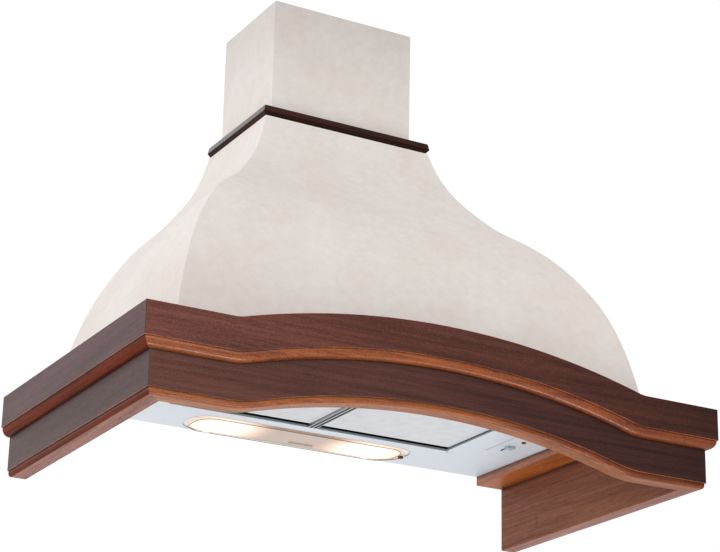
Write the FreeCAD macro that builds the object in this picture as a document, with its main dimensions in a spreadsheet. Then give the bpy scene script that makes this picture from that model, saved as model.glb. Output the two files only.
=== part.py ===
import FreeCAD, Part
import math
import os
import Sketcher
from FreeCAD import Placement, Rotation, Vector
from types import SimpleNamespace

# A range hood for a wall: a dark wooden frame with an arched front board, a cream ogee body and a
# square chimney, round a steel extractor insert with its filters, lamp, switches and blower.
# X runs along the wall, Y points into the wall, Z is up. The wall face is Y = 0. The origin lies
# midway between the two fixing holes of the hanging rail, on the wall. Heights are counted from
# the top edge of the side boards; each sub-part's placement then sets it below the fixing holes.

SIZES = [
    # the whole
    ("overall_width", 900.0, "across the side boards"),
    ("overall_depth", 510.0, "wall to the front board's face"),
    # wooden frame
    ("cornice_thick", 14.0, "applied upper board"),
    ("cornice_face", 46.7, "height of its flat face"),
    ("cornice_height", 59.3, "height with its ovolo"),
    ("cornice_quirk", 2.0, "step between the flat face and the ovolo"),
    ("ovolo_radius", 11.5, "ovolo under the cornice"),
    ("base_thick", 29.5, "base board"),
    ("base_face", 108.9, "height of its flat face"),
    ("base_height", 117.0, "height of the base board"),
    ("base_quirk", 2.0, "step between the flat face and the bead"),
    ("bead_radius", 4.5, "rounded lower edge"),
    ("arch_half_span", 318.0, "half the arch's span at the top edge"),
    ("arch_rise", 44.0, "rise of the arch"),
    ("arch_ease", 60.0, "radius that eases the arch into the straight at the top edge"),
    ("deck_width", 48.0, "batten seen from below"),
    ("deck_thick", 14.5, "batten"),
    ("deck_drop", 1.7, "batten's top below the boards' top edge"),
    ("spline_long", 24.0, "mitre spline across the joint"),
    ("spline_thick", 4.0, "mitre spline"),
    ("spline_height", 70.0, "mitre spline"),
    ("spline_top", 25.0, "its top below the boards' top edge"),
    # body
    ("shell_thick", 12.0, "bent panels, measured level"),
    ("body_side_inset", 30.5, "body's foot inside the side boards"),
    ("body_front_inset", 33.0, "body's foot inside the front board"),
    ("neck_height", 445.0, "top of the body"),
    ("rear_tuck", 13.0, "how far the side panels tuck in at the wall"),
    ("rib_thick", 18.0, "plywood ribs, rail and neck board"),
    ("rib_depth", 36.0, "hip rib along its diagonal"),
    ("wall_rib_width", 50.0, "wall rib"),
    ("rib_foot", 2.0, "ribs' feet above the boards' top edge"),
    ("rib_gap", 0.3, "glue gap round the ribs, rail and neck board"),
    ("rail_height", 70.0, "hanging rail"),
    ("holes_below_neck", 195.0, "fixing holes below the body's top"),
    ("fixing_spacing", 400.0, "between the fixing holes"),
    ("fixing_radius", 4.0, "fixing hole"),
    ("rail_screw_radius", 2.0, "wood screw"),
    ("rail_screw_head", 4.0, "wood screw's head radius"),
    ("rail_screw_length", 30.0, "wood screw"),
    ("rail_screw_seat", 3.0, "recess of its head"),
    ("rail_screw_sunk", 0.4, "its head below the rail's face"),
    ("rail_screw_inset", 14.0, "screws inside the rail's ends"),
    ("rail_screw_rise", 20.0, "each pair of screws above the fixing holes"),
    ("rail_screw_apart", 16.0, "the two screws of a pair"),
    ("duct_room", 9.5, "neck board's hole beyond the duct collar"),
    # trim
    ("trim_width", 24.0, "neck trim"),
    ("trim_height", 17.9, "neck trim"),
    ("trim_crest", 6.5, "height of its crest above the body"),
    ("trim_under", 7.0, "crest beyond its lower edge"),
    ("trim_lean", 2.0, "crest beyond its upper edge"),
    ("trim_arris", 1.2, "bevel of its upper edge"),
    ("trim_side_over", 3.5, "trim beyond the body's sides"),
    ("trim_front_over", 1.0, "trim beyond the body's front"),
    # chimney
    ("chimney_width", 243.0, "outside"),
    ("chimney_depth", 176.5, "outside, from the wall"),
    ("chimney_height", 208.6, "above the neck board"),
    ("chimney_wall", 6.0, "panel"),
    ("batten_side", 20.0, "corner batten"),
    ("bracket_thick", 1.5, "chimney wall bracket"),
    ("bracket_height", 40.0, "chimney wall bracket"),
    ("bracket_leg", 30.0, "its side legs"),
    ("bracket_drop", 12.0, "its top below the chimney's top"),
    ("bracket_hole_radius", 3.0, "its wall holes"),
    ("bracket_spacing", 150.0, "between its wall holes"),
    # insert plate and casing
    ("sheet", 1.2, "steel sheet of the plate and its lips"),
    ("plate_lap", 2.6, "plate's edge resting on the deck"),
    ("plate_wall_gap", 0.4, "plate's rear edge to the wall"),
    ("inlet_side_margin", 125.1, "plate beside the filter opening"),
    ("inlet_front_margin", 53.6, "plate in front of the filter opening"),
    ("inlet_from_wall", 107.5, "filter opening's rear edge"),
    ("lip_height", 14.0, "upturned lip above the plate"),
    ("casing_wall", 1.0, "steel casing"),
    ("plenum_margin", 18.0, "casing beyond the filter opening"),
    ("plenum_height", 100.0, "lower part of the casing"),
    ("tower_half_width", 120.0, "upper part of the casing"),
    ("tower_room", 4.5, "upper part in front of the scroll"),
    ("tower_edge", 1.1, "upper part behind the duct collar"),
    ("tower_below_neck", 135.0, "top of the casing below the body's top"),
    ("clip_width", 30.0, "insert bracket"),
    ("clip_leg", 18.0, "insert bracket"),
    ("clip_thick", 2.0, "insert bracket"),
    ("clip_clear", 4.4, "bracket inside the side panel's foot"),
    # filters
    ("divider_width", 15.0, "strip between the filters"),
    ("filter_side_gap", 1.6, "filter to the opening's sides"),
    ("filter_front_gap", 2.0, "filter to the opening's front"),
    ("filter_rear_gap", 5.4, "filter to the opening's rear"),
    ("filter_recess", 5.0, "filter above the plate's underside"),
    ("filter_thick", 9.0, "filter frame"),
    ("filter_border", 12.0, "filter frame"),
    ("mesh_inset", 1.2, "mesh above the frame's underside"),
    ("mesh_thick", 6.0, "layered mesh"),
    ("pivot_radius", 2.0, "filter pivot pins"),
    ("pivot_play", 0.05, "running clearance of every pin, on the radius"),
    ("pivot_behind", 2.5, "pin's axis behind the filter"),
    ("pivot_above", 3.2, "pin's axis above the filter's underside"),
    ("pivot_side_play", 0.3, "pin's end short of the lip's outer face"),
    ("pivot_ear", 8.0, "ear that carries a pin"),
    ("latch_width", 34.0, "latch slide"),
    ("latch_depth", 9.0, "latch slide"),
    ("latch_thick", 3.0, "latch slide"),
    ("latch_gap", 0.2, "latch to the filter frame"),
    ("latch_setback", 2.0, "latch slide behind the filter's front"),
    ("latch_tongue_width", 14.0, "latch tongue"),
    ("latch_tongue_reach", 5.0, "latch tongue beyond the filter"),
    ("latch_tongue_thick", 2.0, "latch tongue"),
    ("latch_ridge", 2.5, "thumb ridge"),
    ("keeper_play", 1.0, "room round the tongue in its keeper notch"),
    # lamp
    ("lamp_centre", 10.0, "lamp recess, to the right of the middle"),
    ("lamp_length", 376.0, "lamp recess"),
    ("lamp_depth", 81.0, "lamp recess"),
    ("lamp_from_wall", 3.4, "lamp recess's rear edge"),
    ("lamp_corner", 34.0, "lamp recess's corners"),
    ("tray_lap", 2.0, "tray's flange on the plate"),
    ("tray_wall", 0.8, "lamp tray"),
    ("tray_height", 42.0, "lamp tray"),
    ("tray_end_margin", 16.0, "pan short of the recess's ends"),
    ("tray_side_margin", 7.0, "pan short of the recess's long edges"),
    ("lens_left_gap", 10.0, "lamp cover to the recess's left end"),
    ("lens_right_gap", 14.0, "lamp cover to its right end"),
    ("lens_rear_gap", 4.0, "lamp cover to its rear edge"),
    ("lens_front_gap", 5.0, "lamp cover to its front edge"),
    ("lens_corner", 30.0, "lamp cover's corners"),
    ("lens_thick", 2.5, "lamp cover"),
    ("lens_gap", 0.3, "lamp cover to the tray"),
    ("lens_round", 1.5, "its lower edge"),
    ("lamp_pin_radius", 1.0, "lamp hinge pins"),
    ("knuckle_radius", 1.7, "lamp hinge knuckles"),
    ("knuckle_length", 8.0, "lamp hinge knuckles"),
    ("knuckle_web", 1.4, "web from a knuckle to the cover"),
    ("knuckle_sink", 0.3, "knuckle into the cover's edge"),
    ("hinge_play", 0.3, "ears to the cover's edge"),
    ("ear_thick", 2.5, "lamp hinge ears"),
    ("ear_gap", 0.4, "ear to knuckle"),
    ("ear_relief", 1.4, "notch in the cover beside a knuckle"),
    ("hinge_inset", 9.0, "hinge from each end of the cover"),
    ("knob_radius", 4.2, "lamp cover's end knob"),
    ("knob_height", 3.0, "end knob"),
    ("knob_stem", 1.9, "its stem"),
    ("knob_stem_length", 5.0, "its stem"),
    ("knob_beyond", 7.0, "knob's axis beyond the cover's end"),
    ("knob_gap", 0.1, "knob to the cover's tab"),
    ("stud_room", 1.6, "tray's hole round the stem"),
    ("tab_thick", 1.5, "tab that carries the knob"),
    ("tab_margin", 1.5, "tab beyond the knob"),
    ("tab_lap", 4.0, "tab on the cover"),
    ("holder_radius", 12.0, "lampholder"),
    ("holder_length", 24.0, "lampholder"),
    ("holder_gap", 0.7, "lampholder to the tray's round end"),
    ("bulb_radius", 12.5, "tubular bulb"),
    ("bulb_length", 72.0, "tubular bulb"),
    ("bulb_height", 21.0, "bulb's axis above the plate"),
    # controls
    ("strip_from_edge", 47.1, "plate beside the control strip"),
    ("strip_width", 29.5, "control strip"),
    ("strip_front", 300.0, "from the wall"),
    ("strip_rear", 145.5, "from the wall"),
    ("strip_gap", 0.9, "dark gap at the strip's left side"),
    ("box_margin", 5.0, "switch box beyond the strip"),
    ("box_height", 34.0, "switch box"),
    ("box_wall", 2.0, "switch box"),
    ("slider_from_edge", 20.0, "sliders' line on the strip"),
    ("speed_from_wall", 183.5, "speed slider at 0"),
    ("speed_travel", 24.0, "speed slider"),
    ("light_from_wall", 262.0, "light slider at 0"),
    ("light_travel", 8.0, "light slider"),
    ("slider_width", 13.0, "slider's cap"),
    ("slider_depth", 10.0, "slider's cap"),
    ("slider_cap", 4.0, "slider's cap below the strip"),
    ("slider_stem_width", 4.0, "slider's stem"),
    ("slider_stem_depth", 5.0, "slider's stem"),
    ("slider_play", 0.3, "slider to strip and slot"),
    ("slider_foot", 2.0, "slider's foot inside the box"),
    ("pilot_from_edge", 25.0, "pilot lamp on the strip"),
    ("pilot_from_wall", 214.5, "pilot lamp"),
    ("pilot_radius", 3.6, "pilot lamp"),
    ("pilot_proud", 1.5, "pilot lamp below the strip"),
    ("pilot_length", 12.0, "pilot lamp's barrel"),
    ("pilot_room", 0.3, "box round the barrel"),
    # blower
    ("fan_from_wall", 140.0, "impeller axis"),
    ("fan_below_top", 115.0, "impeller axis below the casing's top"),
    ("tongue_gap", 8.0, "scroll to the impeller at its tongue"),
    ("scroll_growth", 30.0, "scroll's gain in radius"),
    ("scroll_width", 89.0, "scroll, outside"),
    ("scroll_wall", 1.5, "scroll"),
    ("inlet_radius", 46.0, "scroll's side inlets"),
    ("outlet_depth", 84.0, "scroll's outlet, inside"),
    ("fan_radius", 56.0, "impeller"),
    ("fan_side_gap", 3.0, "impeller to the scroll's sides"),
    ("fan_ring", 12.0, "blades' depth"),
    ("fan_rim", 2.0, "impeller's rings"),
    ("blade_thick", 1.0, "blade"),
    ("blade_inset", 0.5, "blade inside the rings' edges"),
    ("blade_count", 24.0, "blades"),
    ("hub_radius", 9.0, "impeller's hub"),
    ("hub_length", 32.0, "impeller's hub"),
    ("shaft_radius", 4.0, "shaft"),
    ("motor_radius", 34.0, "motor"),
    ("motor_length", 48.0, "motor"),
    ("motor_plate", 3.0, "motor bracket"),
    ("motor_bore_depth", 30.0, "motor's bearing bore"),
    ("shaft_end_gap", 1.0, "shaft to the bottom of that bore"),
    ("arm_lap", 14.0, "motor bracket's arms on the scroll"),
    ("arm_width", 14.0, "motor bracket's arms"),
    ("bracket_ring", 26.0, "motor bracket's ring"),
    ("bracket_bore", 12.0, "motor bracket's bore"),
    # duct collar and damper
    ("collar_radius", 62.5, "outside, for a 125 mm duct"),
    ("collar_wall", 1.5, "collar"),
    ("collar_height", 50.0, "collar above its flange"),
    ("collar_flange", 1.5, "flange"),
    ("flange_margin", 0.4, "flange beyond the collar"),
    ("damper_height", 12.0, "flap pins above the flange"),
    ("damper_apart", 2.4, "flap pins from the duct's axis"),
    ("damper_pin_radius", 1.0, "flap pin"),
    ("damper_pin_short", 0.3, "flap pin inside the collar's face"),
    ("damper_end_gap", 4.0, "flap's tube to the collar"),
    ("damper_knuckle", 2.0, "flap's tube"),
    ("flap_thick", 1.0, "flap"),
    ("flap_gap", 1.5, "flap to the collar"),
    # electrics
    ("terminal_length", 70.0, "terminal box"),
    ("terminal_width", 50.0, "terminal box"),
    ("terminal_height", 35.0, "terminal box"),
    ("terminal_gap", 30.0, "terminal box beside the tower"),
    ("terminal_from_wall", 200.0, "terminal box's front"),
    ("gland_radius", 9.0, "cable gland"),
    ("gland_length", 20.0, "cable gland"),
    ("gland_bore", 4.0, "cable gland"),
    ("gland_floor", 2.0, "its closed end"),
]

# The ogee from the deck to the neck: share of the height, share of the half width that is left
# between neck and foot, share of the rear tuck.
OGEE = [
    (0.0, 1.0, 0.0), (0.138, 0.956, 0.35), (0.272, 0.892, 0.70), (0.373, 0.821, 0.92),
    (0.474, 0.717, 1.0), (0.575, 0.575, 0.85), (0.642, 0.441, 0.45), (0.675, 0.364, 0.20),
    (0.743, 0.2455, 0.0), (0.843, 0.113, 0.0), (0.944, 0.031, 0.0), (1.0, 0.0, 0.0),
]

CLIP_PLACES = (0.25, 0.75)  # insert brackets, as shares of the plate's depth
ARM_COUNT = 3               # motor bracket's arms
OVER = 1.0                  # how far a cut or a joined piece runs past the face that it meets
ON_FACE = 1e-4              # a point this near a face lies on it

doc = FreeCAD.newDocument("RangeHood")
sheet = doc.addObject("Spreadsheet::Sheet", "Sizes")
for row, (alias, value, meaning) in enumerate(SIZES, 1):
    sheet.set(f"A{row}", alias)
    sheet.set(f"B{row}", str(value))
    sheet.setAlias(f"B{row}", alias)
    sheet.set(f"C{row}", meaning)
doc.recompute()


class Size:
    """A length worked out from the sheet: its value now, and the expression that gives it."""

    def __init__(self, value, text):
        self.value = value
        self.text = text

    def __add__(self, other):
        other = as_size(other)
        return Size(self.value + other.value, f"({self.text} + {other.text})")

    def __sub__(self, other):
        other = as_size(other)
        return Size(self.value - other.value, f"({self.text} - {other.text})")

    def __mul__(self, other):
        other = as_size(other)
        return Size(self.value * other.value, f"({self.text} * {other.text})")

    def __truediv__(self, other):
        other = as_size(other)
        return Size(self.value / other.value, f"({self.text} / {other.text})")

    def __radd__(self, other):
        return as_size(other) + self

    def __rsub__(self, other):
        return as_size(other) - self

    def __rmul__(self, other):
        return as_size(other) * self

    def __neg__(self):
        return self * -1

    def root(self):
        return Size(math.sqrt(self.value), f"sqrt({self.text})")


def as_size(number):
    """A plain number in the same form as a size from the sheet."""
    if isinstance(number, Size):
        return number
    return Size(float(number), f"({number:.9g})")


size = SimpleNamespace(**{alias: Size(value, f"Sizes.{alias}") for alias, value, _ in SIZES})
SIDES = (("left", -1), ("right", 1))
nodes = []
own_height = {}
fixing_z = size.neck_height - size.holes_below_neck


def bind(thing, name, length):
    thing.setExpression(name, as_size(length).text)


def place(thing, x, y, z):
    bind(thing, "Placement.Base.x", x)
    bind(thing, "Placement.Base.y", y)
    bind(thing, "Placement.Base.z", z)
    own_height[thing.Name] = as_size(z)
    return thing


def node(label, thing):
    """Names a sub-part and measures its height from the fixing holes."""
    height = own_height.get(thing.Name, as_size(0))
    bind(thing, "Placement.Base.z", height - fixing_z)
    thing.Label = label
    nodes.append(thing)
    return thing


def box(x, y, z, dx, dy, dz):
    """A block from its lowest corner and its three lengths."""
    thing = doc.addObject("Part::Box", "Block")
    bind(thing, "Length", dx)
    bind(thing, "Width", dy)
    bind(thing, "Height", dz)
    return place(thing, x, y, z)


def span(side, near, far):
    """Lowest X of a stretch from near to far on one side of the middle."""
    return near if side > 0 else -far


TURNS = {
    "x": Rotation(Vector(0, 1, 0), 90),
    "y": Rotation(Vector(1, 0, 0), -90),
    "z": Rotation(),
}


def cylinder(x, y, z, axis, radius, length):
    """A round bar from a point on its axis, running along +X, +Y or +Z."""
    thing = doc.addObject("Part::Cylinder", "Round")
    thing.Placement = Placement(Vector(), TURNS[axis])
    bind(thing, "Radius", radius)
    bind(thing, "Height", length)
    return place(thing, x, y, z)


def bore(x, y, z, axis, radius, length):
    """A round cut from a point on its axis, run past both ends."""
    start = {"x": (x - OVER, y, z), "y": (x, y - OVER, z), "z": (x, y, z - OVER)}[axis]
    return cylinder(*start, axis, radius, length + 2 * OVER)


def window(x, y, z, dx, dy, dz):
    """A square cut, run past the upper and lower faces."""
    return box(x, y, z - OVER, dx, dy, dz + 2 * OVER)


def fuse(*parts):
    thing = doc.addObject("Part::MultiFuse", "Joined")
    thing.Shapes = list(parts)
    return thing


def cut(base, *tools):
    thing = doc.addObject("Part::Cut", "Cut")
    thing.Base = base
    thing.Tool = tools[0] if len(tools) == 1 else fuse(*tools)
    return thing


def group(*parts):
    thing = doc.addObject("Part::Compound", "Group")
    thing.Links = list(parts)
    return thing


def feature(shape):
    """A sub-part whose outline is a free curve."""
    thing = doc.addObject("Part::Feature", "Curved")
    thing.Shape = shape
    return thing


def sketch(body, plane, outlines, offset=0):
    """Closed outlines on an origin plane; a corner with a centre starts an arc about it."""
    planes = {item.Role: item for item in body.Origin.OriginFeatures}
    drawing = body.newObject("Sketcher::SketchObject", "Outline")
    drawing.AttachmentSupport = [(planes[plane], "")]
    drawing.MapMode = "FlatFace"
    bind(drawing, "AttachmentOffset.Base.z", offset)
    for outline in outlines:
        draw_outline(drawing, outline)
    return drawing


def draw_outline(drawing, outline):
    first = drawing.GeometryCount
    corners = [(as_size(corner[0]), as_size(corner[1])) for corner in outline]
    points = [Vector(u.value, v.value, 0) for u, v in corners]
    starts = []
    for index, corner in enumerate(outline):
        here, there = points[index], points[(index + 1) % len(points)]
        if len(corner) == 3:
            centre = Vector(as_size(corner[2][0]).value, as_size(corner[2][1]).value, 0)
            half_way = (here + there) / 2 - centre
            middle = centre + half_way.normalize() * (here - centre).Length
            drawing.addGeometry(Part.Arc(here, middle, there))
        else:
            drawing.addGeometry(Part.LineSegment(here, there))
        at_start = (drawing.getPoint(first + index, 1) - here).Length < ON_FACE
        starts.append((1, 2) if at_start else (2, 1))
    for index, (u, v) in enumerate(corners):
        edge = first + index
        following = first + (index + 1) % len(corners)
        joint = (edge, starts[index][1], following, starts[(index + 1) % len(corners)][0])
        drawing.addConstraint(Sketcher.Constraint("Coincident", *joint))
        for kind, distance in (("DistanceX", u), ("DistanceY", v)):
            ends = (-1, 1, edge, starts[index][0], distance.value)
            rule = drawing.addConstraint(Sketcher.Constraint(kind, *ends))
            bind(drawing, f"Constraints[{rule}]", distance)
        if len(outline[index]) == 3:
            radius = outline[index][2][2]
            rule = drawing.addConstraint(Sketcher.Constraint("Radius", edge, radius.value))
            bind(drawing, f"Constraints[{rule}]", radius)


def body():
    return doc.addObject("PartDesign::Body", "Body")


def pad(owner, drawing, length, both_ways=False):
    thing = owner.newObject("PartDesign::Pad", "Pad")
    thing.Profile = drawing
    thing.Midplane = both_ways
    bind(thing, "Length", length)
    return thing


def pocket(owner, drawing, length=None):
    """Cuts down to a length from the drawing, or right through without one."""
    thing = owner.newObject("PartDesign::Pocket", "Pocket")
    thing.Profile = drawing
    if length is None:
        thing.Type = "ThroughAll"
        thing.Midplane = True
    else:
        bind(thing, "Length", length)
    return thing


def round_edges(owner, chosen, radius):
    """Rounds the edges whose ends all pass a test."""
    doc.recompute()
    tip = owner.Tip
    names = []
    for place_in_list, edge in enumerate(tip.Shape.Edges, 1):
        if all(chosen(vertex.Point) for vertex in edge.Vertexes):
            names.append(f"Edge{place_in_list}")
    thing = owner.newObject("PartDesign::Fillet", "Round")
    thing.Base = (tip, names)
    bind(thing, "Radius", radius)
    return thing


def rectangle(x0, y0, x1, y1):
    return [(x0, y0), (x1, y0), (x1, y1), (x0, y1)]


def rounded(x0, y0, x1, y1, r):
    """A rectangle with round corners."""
    return [
        (x0 + r, y0), (x1 - r, y0, (x1 - r, y0 + r, r)),
        (x1, y0 + r), (x1, y1 - r, (x1 - r, y1 - r, r)),
        (x1 - r, y1), (x0 + r, y1, (x0 + r, y1 - r, r)),
        (x0, y1 - r), (x0, y0 + r, (x0 + r, y0 + r, r)),
    ]


# --- wooden frame: boards mitred at the front corners ------------------------------------------

half_width = size.overall_width / 2
depth = size.overall_depth
board_thick = size.cornice_thick + size.base_thick
inner_half = half_width - board_thick

# the blower sets where the duct rises
tower_top = size.neck_height - size.tower_below_neck
fan_y = -size.fan_from_wall
fan_z = tower_top - size.fan_below_top
tongue_radius = size.fan_radius + size.tongue_gap
scroll_reach = tongue_radius + size.scroll_growth
duct_y = fan_y + scroll_reach - size.outlet_depth / 2
flange_half = size.collar_radius + size.flange_margin


def spline_slot(side):
    """Plan of a spline across one front mitre, at the middle of the base board's thickness."""
    reach = size.spline_long / (2 * math.sqrt(2))
    half = size.spline_thick / (2 * math.sqrt(2))
    middle = size.cornice_thick + size.base_thick / 2
    x = half_width - middle
    y = middle - depth
    corners = [
        (x - reach - half, y - reach + half), (x - reach + half, y - reach - half),
        (x + reach + half, y + reach - half), (x + reach - half, y + reach + half),
    ]
    return [(side * u, v) for u, v in corners]


def mitre_front(owner, thick, x_edge, y_edge):
    """Cuts both ends of a front piece back along the 45 degree mitres."""
    run = thick + OVER
    triangles = []
    for _, side in SIDES:
        triangles.append([(side * x_edge, y_edge), (side * x_edge, y_edge + run),
                          (side * (x_edge - run), y_edge + run)])
    pocket(owner, sketch(owner, "XY_Plane", triangles))


def mitre_side(owner, side, thick, x_edge, y_edge):
    """Cuts the front end of a side piece back along its 45 degree mitre."""
    run = thick + OVER
    triangle = [(side * x_edge, y_edge), (side * (x_edge - run), y_edge),
                (side * (x_edge - run), y_edge + run)]
    pocket(owner, sketch(owner, "XY_Plane", [triangle]))


def cut_slots(owner, sides):
    drawing = sketch(owner, "XY_Plane", [spline_slot(side) for side in sides], -size.spline_top)
    pocket(owner, drawing, size.spline_height)


def arched_strip(end, lower_edge):
    """Front view of a board whose two edges are concentric arches, eased into the straights."""
    span_squared = size.arch_half_span * size.arch_half_span
    radius = (span_squared + size.arch_rise * size.arch_rise) / (2 * size.arch_rise)
    centre = size.arch_rise - radius
    ease = size.arch_ease
    low_ease = ease + lower_edge
    ease_x = ((2 * radius + 2 * ease - size.arch_rise) * size.arch_rise).root()
    share = radius / (radius + ease)
    meet_x = ease_x * share
    meet_z = centre + (ease - centre) * share
    low_share = (radius - lower_edge) / (radius + ease)
    low_x = ease_x * low_share
    low_z = centre + (ease - centre) * low_share
    return [
        (-end, 0), (-end, -lower_edge), (-ease_x, -lower_edge, (-ease_x, ease, low_ease)),
        (-low_x, low_z, (0, centre, radius - lower_edge)), (low_x, low_z, (ease_x, ease, low_ease)),
        (ease_x, -lower_edge), (end, -lower_edge), (end, 0),
        (ease_x, 0, (ease_x, ease, ease)), (meet_x, meet_z, (0, centre, radius)),
        (-meet_x, meet_z, (-ease_x, ease, ease)), (-ease_x, 0),
    ]


def front_board(label, back, full, core, quirk, face_height, full_height, radius, slots):
    """An arched board: a core with a rounded lower edge, and a flat face that stops above it."""
    owner = body()
    core_front = back + core
    end = half_width - (depth - back - full)
    pad(owner, sketch(owner, "XZ_Plane", [arched_strip(end, full_height)], back), core)
    low = -full_height.value
    edge_y = -core_front.value
    round_edges(owner, lambda p: abs(p.y - edge_y) < ON_FACE and abs(p.z - low) < ON_FACE, radius)
    pad(owner, sketch(owner, "XZ_Plane", [arched_strip(end, face_height)], core_front), quirk)
    mitre_front(owner, full, end, -(back + full))
    if slots:
        cut_slots(owner, (-1, 1))
    node(label, owner)


def side_board(label, side, outer, full, quirk, face_height, full_height, radius, slots):
    """The same section as the front board's, straight from the wall to the mitre."""
    owner = body()
    inner = outer - full
    shoulder = outer - quirk
    profile = [
        (outer, 0), (inner, 0), (inner, -full_height),
        (shoulder - radius, -full_height, (shoulder - radius, radius - full_height, radius)),
        (shoulder, radius - full_height), (shoulder, -face_height), (outer, -face_height),
    ]
    handed = []
    for corner in profile:
        turned = [side * corner[0], corner[1]]
        if len(corner) == 3:
            turned.append((side * corner[2][0], corner[2][1], corner[2][2]))
        handed.append(tuple(turned))
    front = depth - (half_width - outer)
    pad(owner, sketch(owner, "XZ_Plane", [handed]), front)
    mitre_side(owner, side, full, outer, -front)
    if slots:
        cut_slots(owner, (side,))
    node(label, owner)


cornice = dict(full=size.cornice_thick, quirk=size.cornice_quirk, face_height=size.cornice_face,
               full_height=size.cornice_height, radius=size.ovolo_radius, slots=False)
base = dict(full=size.base_thick, quirk=size.base_quirk, face_height=size.base_face,
            full_height=size.base_height, radius=size.bead_radius, slots=True)

front_board("cornice_front", back=depth - size.cornice_thick,
            core=size.cornice_thick - size.cornice_quirk, **cornice)
front_board("base_board_front", back=depth - board_thick,
            core=size.base_thick - size.base_quirk, **base)
for side_name, side in SIDES:
    side_board(f"cornice_{side_name}", side, outer=half_width, **cornice)
    side_board(f"base_board_{side_name}", side, outer=half_width - size.cornice_thick, **base)

splines = []
for _, side in SIDES:
    owner = body()
    pad(owner, sketch(owner, "XY_Plane", [spline_slot(side)], -size.spline_top - size.spline_height),
        size.spline_height)
    splines.append(owner)
node("mitre_splines", group(*splines))

# deck: flat battens inside the boards, on which the body and the insert stand
deck_low = -size.deck_drop - size.deck_thick
deck_inner = inner_half - size.deck_width
deck_front_edge = -(depth - board_thick)
deck_front_inner = deck_front_edge + size.deck_width
for side_name, side in SIDES:
    batten = box(span(side, deck_inner, inner_half), deck_front_inner, deck_low,
                 size.deck_width, -deck_front_inner, size.deck_thick)
    node(f"deck_{side_name}", batten)
node("deck_front", box(-inner_half, deck_front_edge, deck_low,
                       inner_half * 2, size.deck_width, size.deck_thick))

# --- body: three bent panels on ribs -------------------------------------------------------------

foot_z = -size.deck_drop
neck_z = size.neck_height
foot_half = inner_half - size.body_side_inset
foot_front = depth - board_thick - size.body_front_inset
chimney_half = size.chimney_width / 2
neck_half = chimney_half + size.trim_width - size.trim_side_over
neck_front = size.chimney_depth + size.trim_width - size.trim_front_over
lean = (foot_front - neck_front) / (foot_half - neck_half)


def between(start, end, share):
    return start.value + share * (end.value - start.value)


def curve(points):
    line = Part.BSplineCurve()
    line.interpolate(points)
    return line.toShape()


def hip_line(side, inset):
    """The body's front corner, which lies in an upright plane, or its front outline for side 0."""
    points = []
    for up, out, _ in OGEE:
        x = between(neck_half, foot_half, out) - inset
        y = between(neck_front, foot_front, out) - inset * lean.value
        points.append(Vector(side * x, -y, between(foot_z, neck_z, up)))
    return curve(points)


def wall_line(side, inset, y=0.0):
    """The body's outline at the wall, where the side panels tuck in."""
    points = []
    for up, out, tuck in OGEE:
        x = between(neck_half, foot_half, out) - tuck * size.rear_tuck.value - inset
        points.append(Vector(side * x, y, between(foot_z, neck_z, up)))
    return curve(points)


def closed_between(outer, inner):
    """A closed wire from two curves that start and end at the same heights."""
    low = Part.makeLine(outer.valueAt(outer.FirstParameter), inner.valueAt(inner.FirstParameter))
    high = Part.makeLine(inner.valueAt(inner.LastParameter), outer.valueAt(outer.LastParameter))
    return Part.Wire([low, inner, high, outer])


def hip_wire(side, inset, thick):
    return closed_between(hip_line(side, inset), hip_line(side, inset + thick))


def wall_wire(side, inset, thick, y=0.0):
    return closed_between(wall_line(side, inset, y), wall_line(side, inset + thick, y))


panel = size.shell_thick.value
front_wires = [hip_wire(side, 0, panel) for side in (-1, 0, 1)]
node("body_front", feature(Part.makeLoft(front_wires, True, True)))
for side_name, side in SIDES:
    side_panel = Part.makeLoft([hip_wire(side, 0, panel), wall_wire(side, 0, panel)], True, True)
    node(f"body_{side_name}", feature(side_panel))

rib = size.rib_thick.value
rib_gap = size.rib_gap.value
rib_low = size.rib_foot.value
rib_high = neck_z.value - rib
reach = size.overall_width.value
rib_band = Part.makeBox(2 * reach, 2 * reach, rib_high - rib_low, Vector(-reach, -reach, rib_low))


def slab(wire, along):
    return Part.Face(wire).extrude(along).common(rib_band).Solids[0]


# a hip rib's square edge clears both panels from this far inside the body's corner; the side
# panels turn in towards the wall, which takes a little more
hip_x = (foot_half - neck_half).value
hip_y = (foot_front - neck_front).value
hip_run = math.hypot(hip_x, hip_y)
hip_seat = panel + rib_gap + max(rib / 2 * hip_y / hip_run, rib / 2 * hip_x / hip_run * hip_x / hip_y)
hip_seat += size.rear_tuck.value * rib / neck_front.value
for side_name, side in SIDES:
    across = Vector(side * hip_y, hip_x, 0) / hip_run
    hip = slab(hip_wire(side, hip_seat, size.rib_depth.value * hip_x / hip_run), across * rib)
    hip.translate(across * (-rib / 2))
    node(f"hip_rib_{side_name}", feature(hip))

# the rail reaches from panel to panel at its upper edge, where the body is narrower
rail_low = fixing_z - size.rail_height / 2
rail_high = (rail_low + size.rail_height).value
level = Part.makeLine(Vector(0, 0, rail_high), Vector(reach, 0, rail_high))
rail_half = as_size(wall_line(1, panel + rib_gap).distToShape(level)[1][0][0].x)
screw_x = rail_half - size.rail_screw_inset
screw_heights = [fixing_z + size.rail_screw_rise + up * size.rail_screw_apart / 2 for up in (-1, 1)]

for side_name, side in SIDES:
    wall_rib = slab(wall_wire(side, panel + rib_gap, size.wall_rib_width.value, -rib), Vector(0, -rib, 0))
    screw_holes = []
    for z in screw_heights:
        screw_holes.append(Part.makeCylinder(
            size.rail_screw_radius.value, size.rail_screw_length.value,
            Vector(side * screw_x.value, 0, z.value), Vector(0, -1, 0)))
    node(f"wall_rib_{side_name}", feature(wall_rib.cut(screw_holes)))

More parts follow.
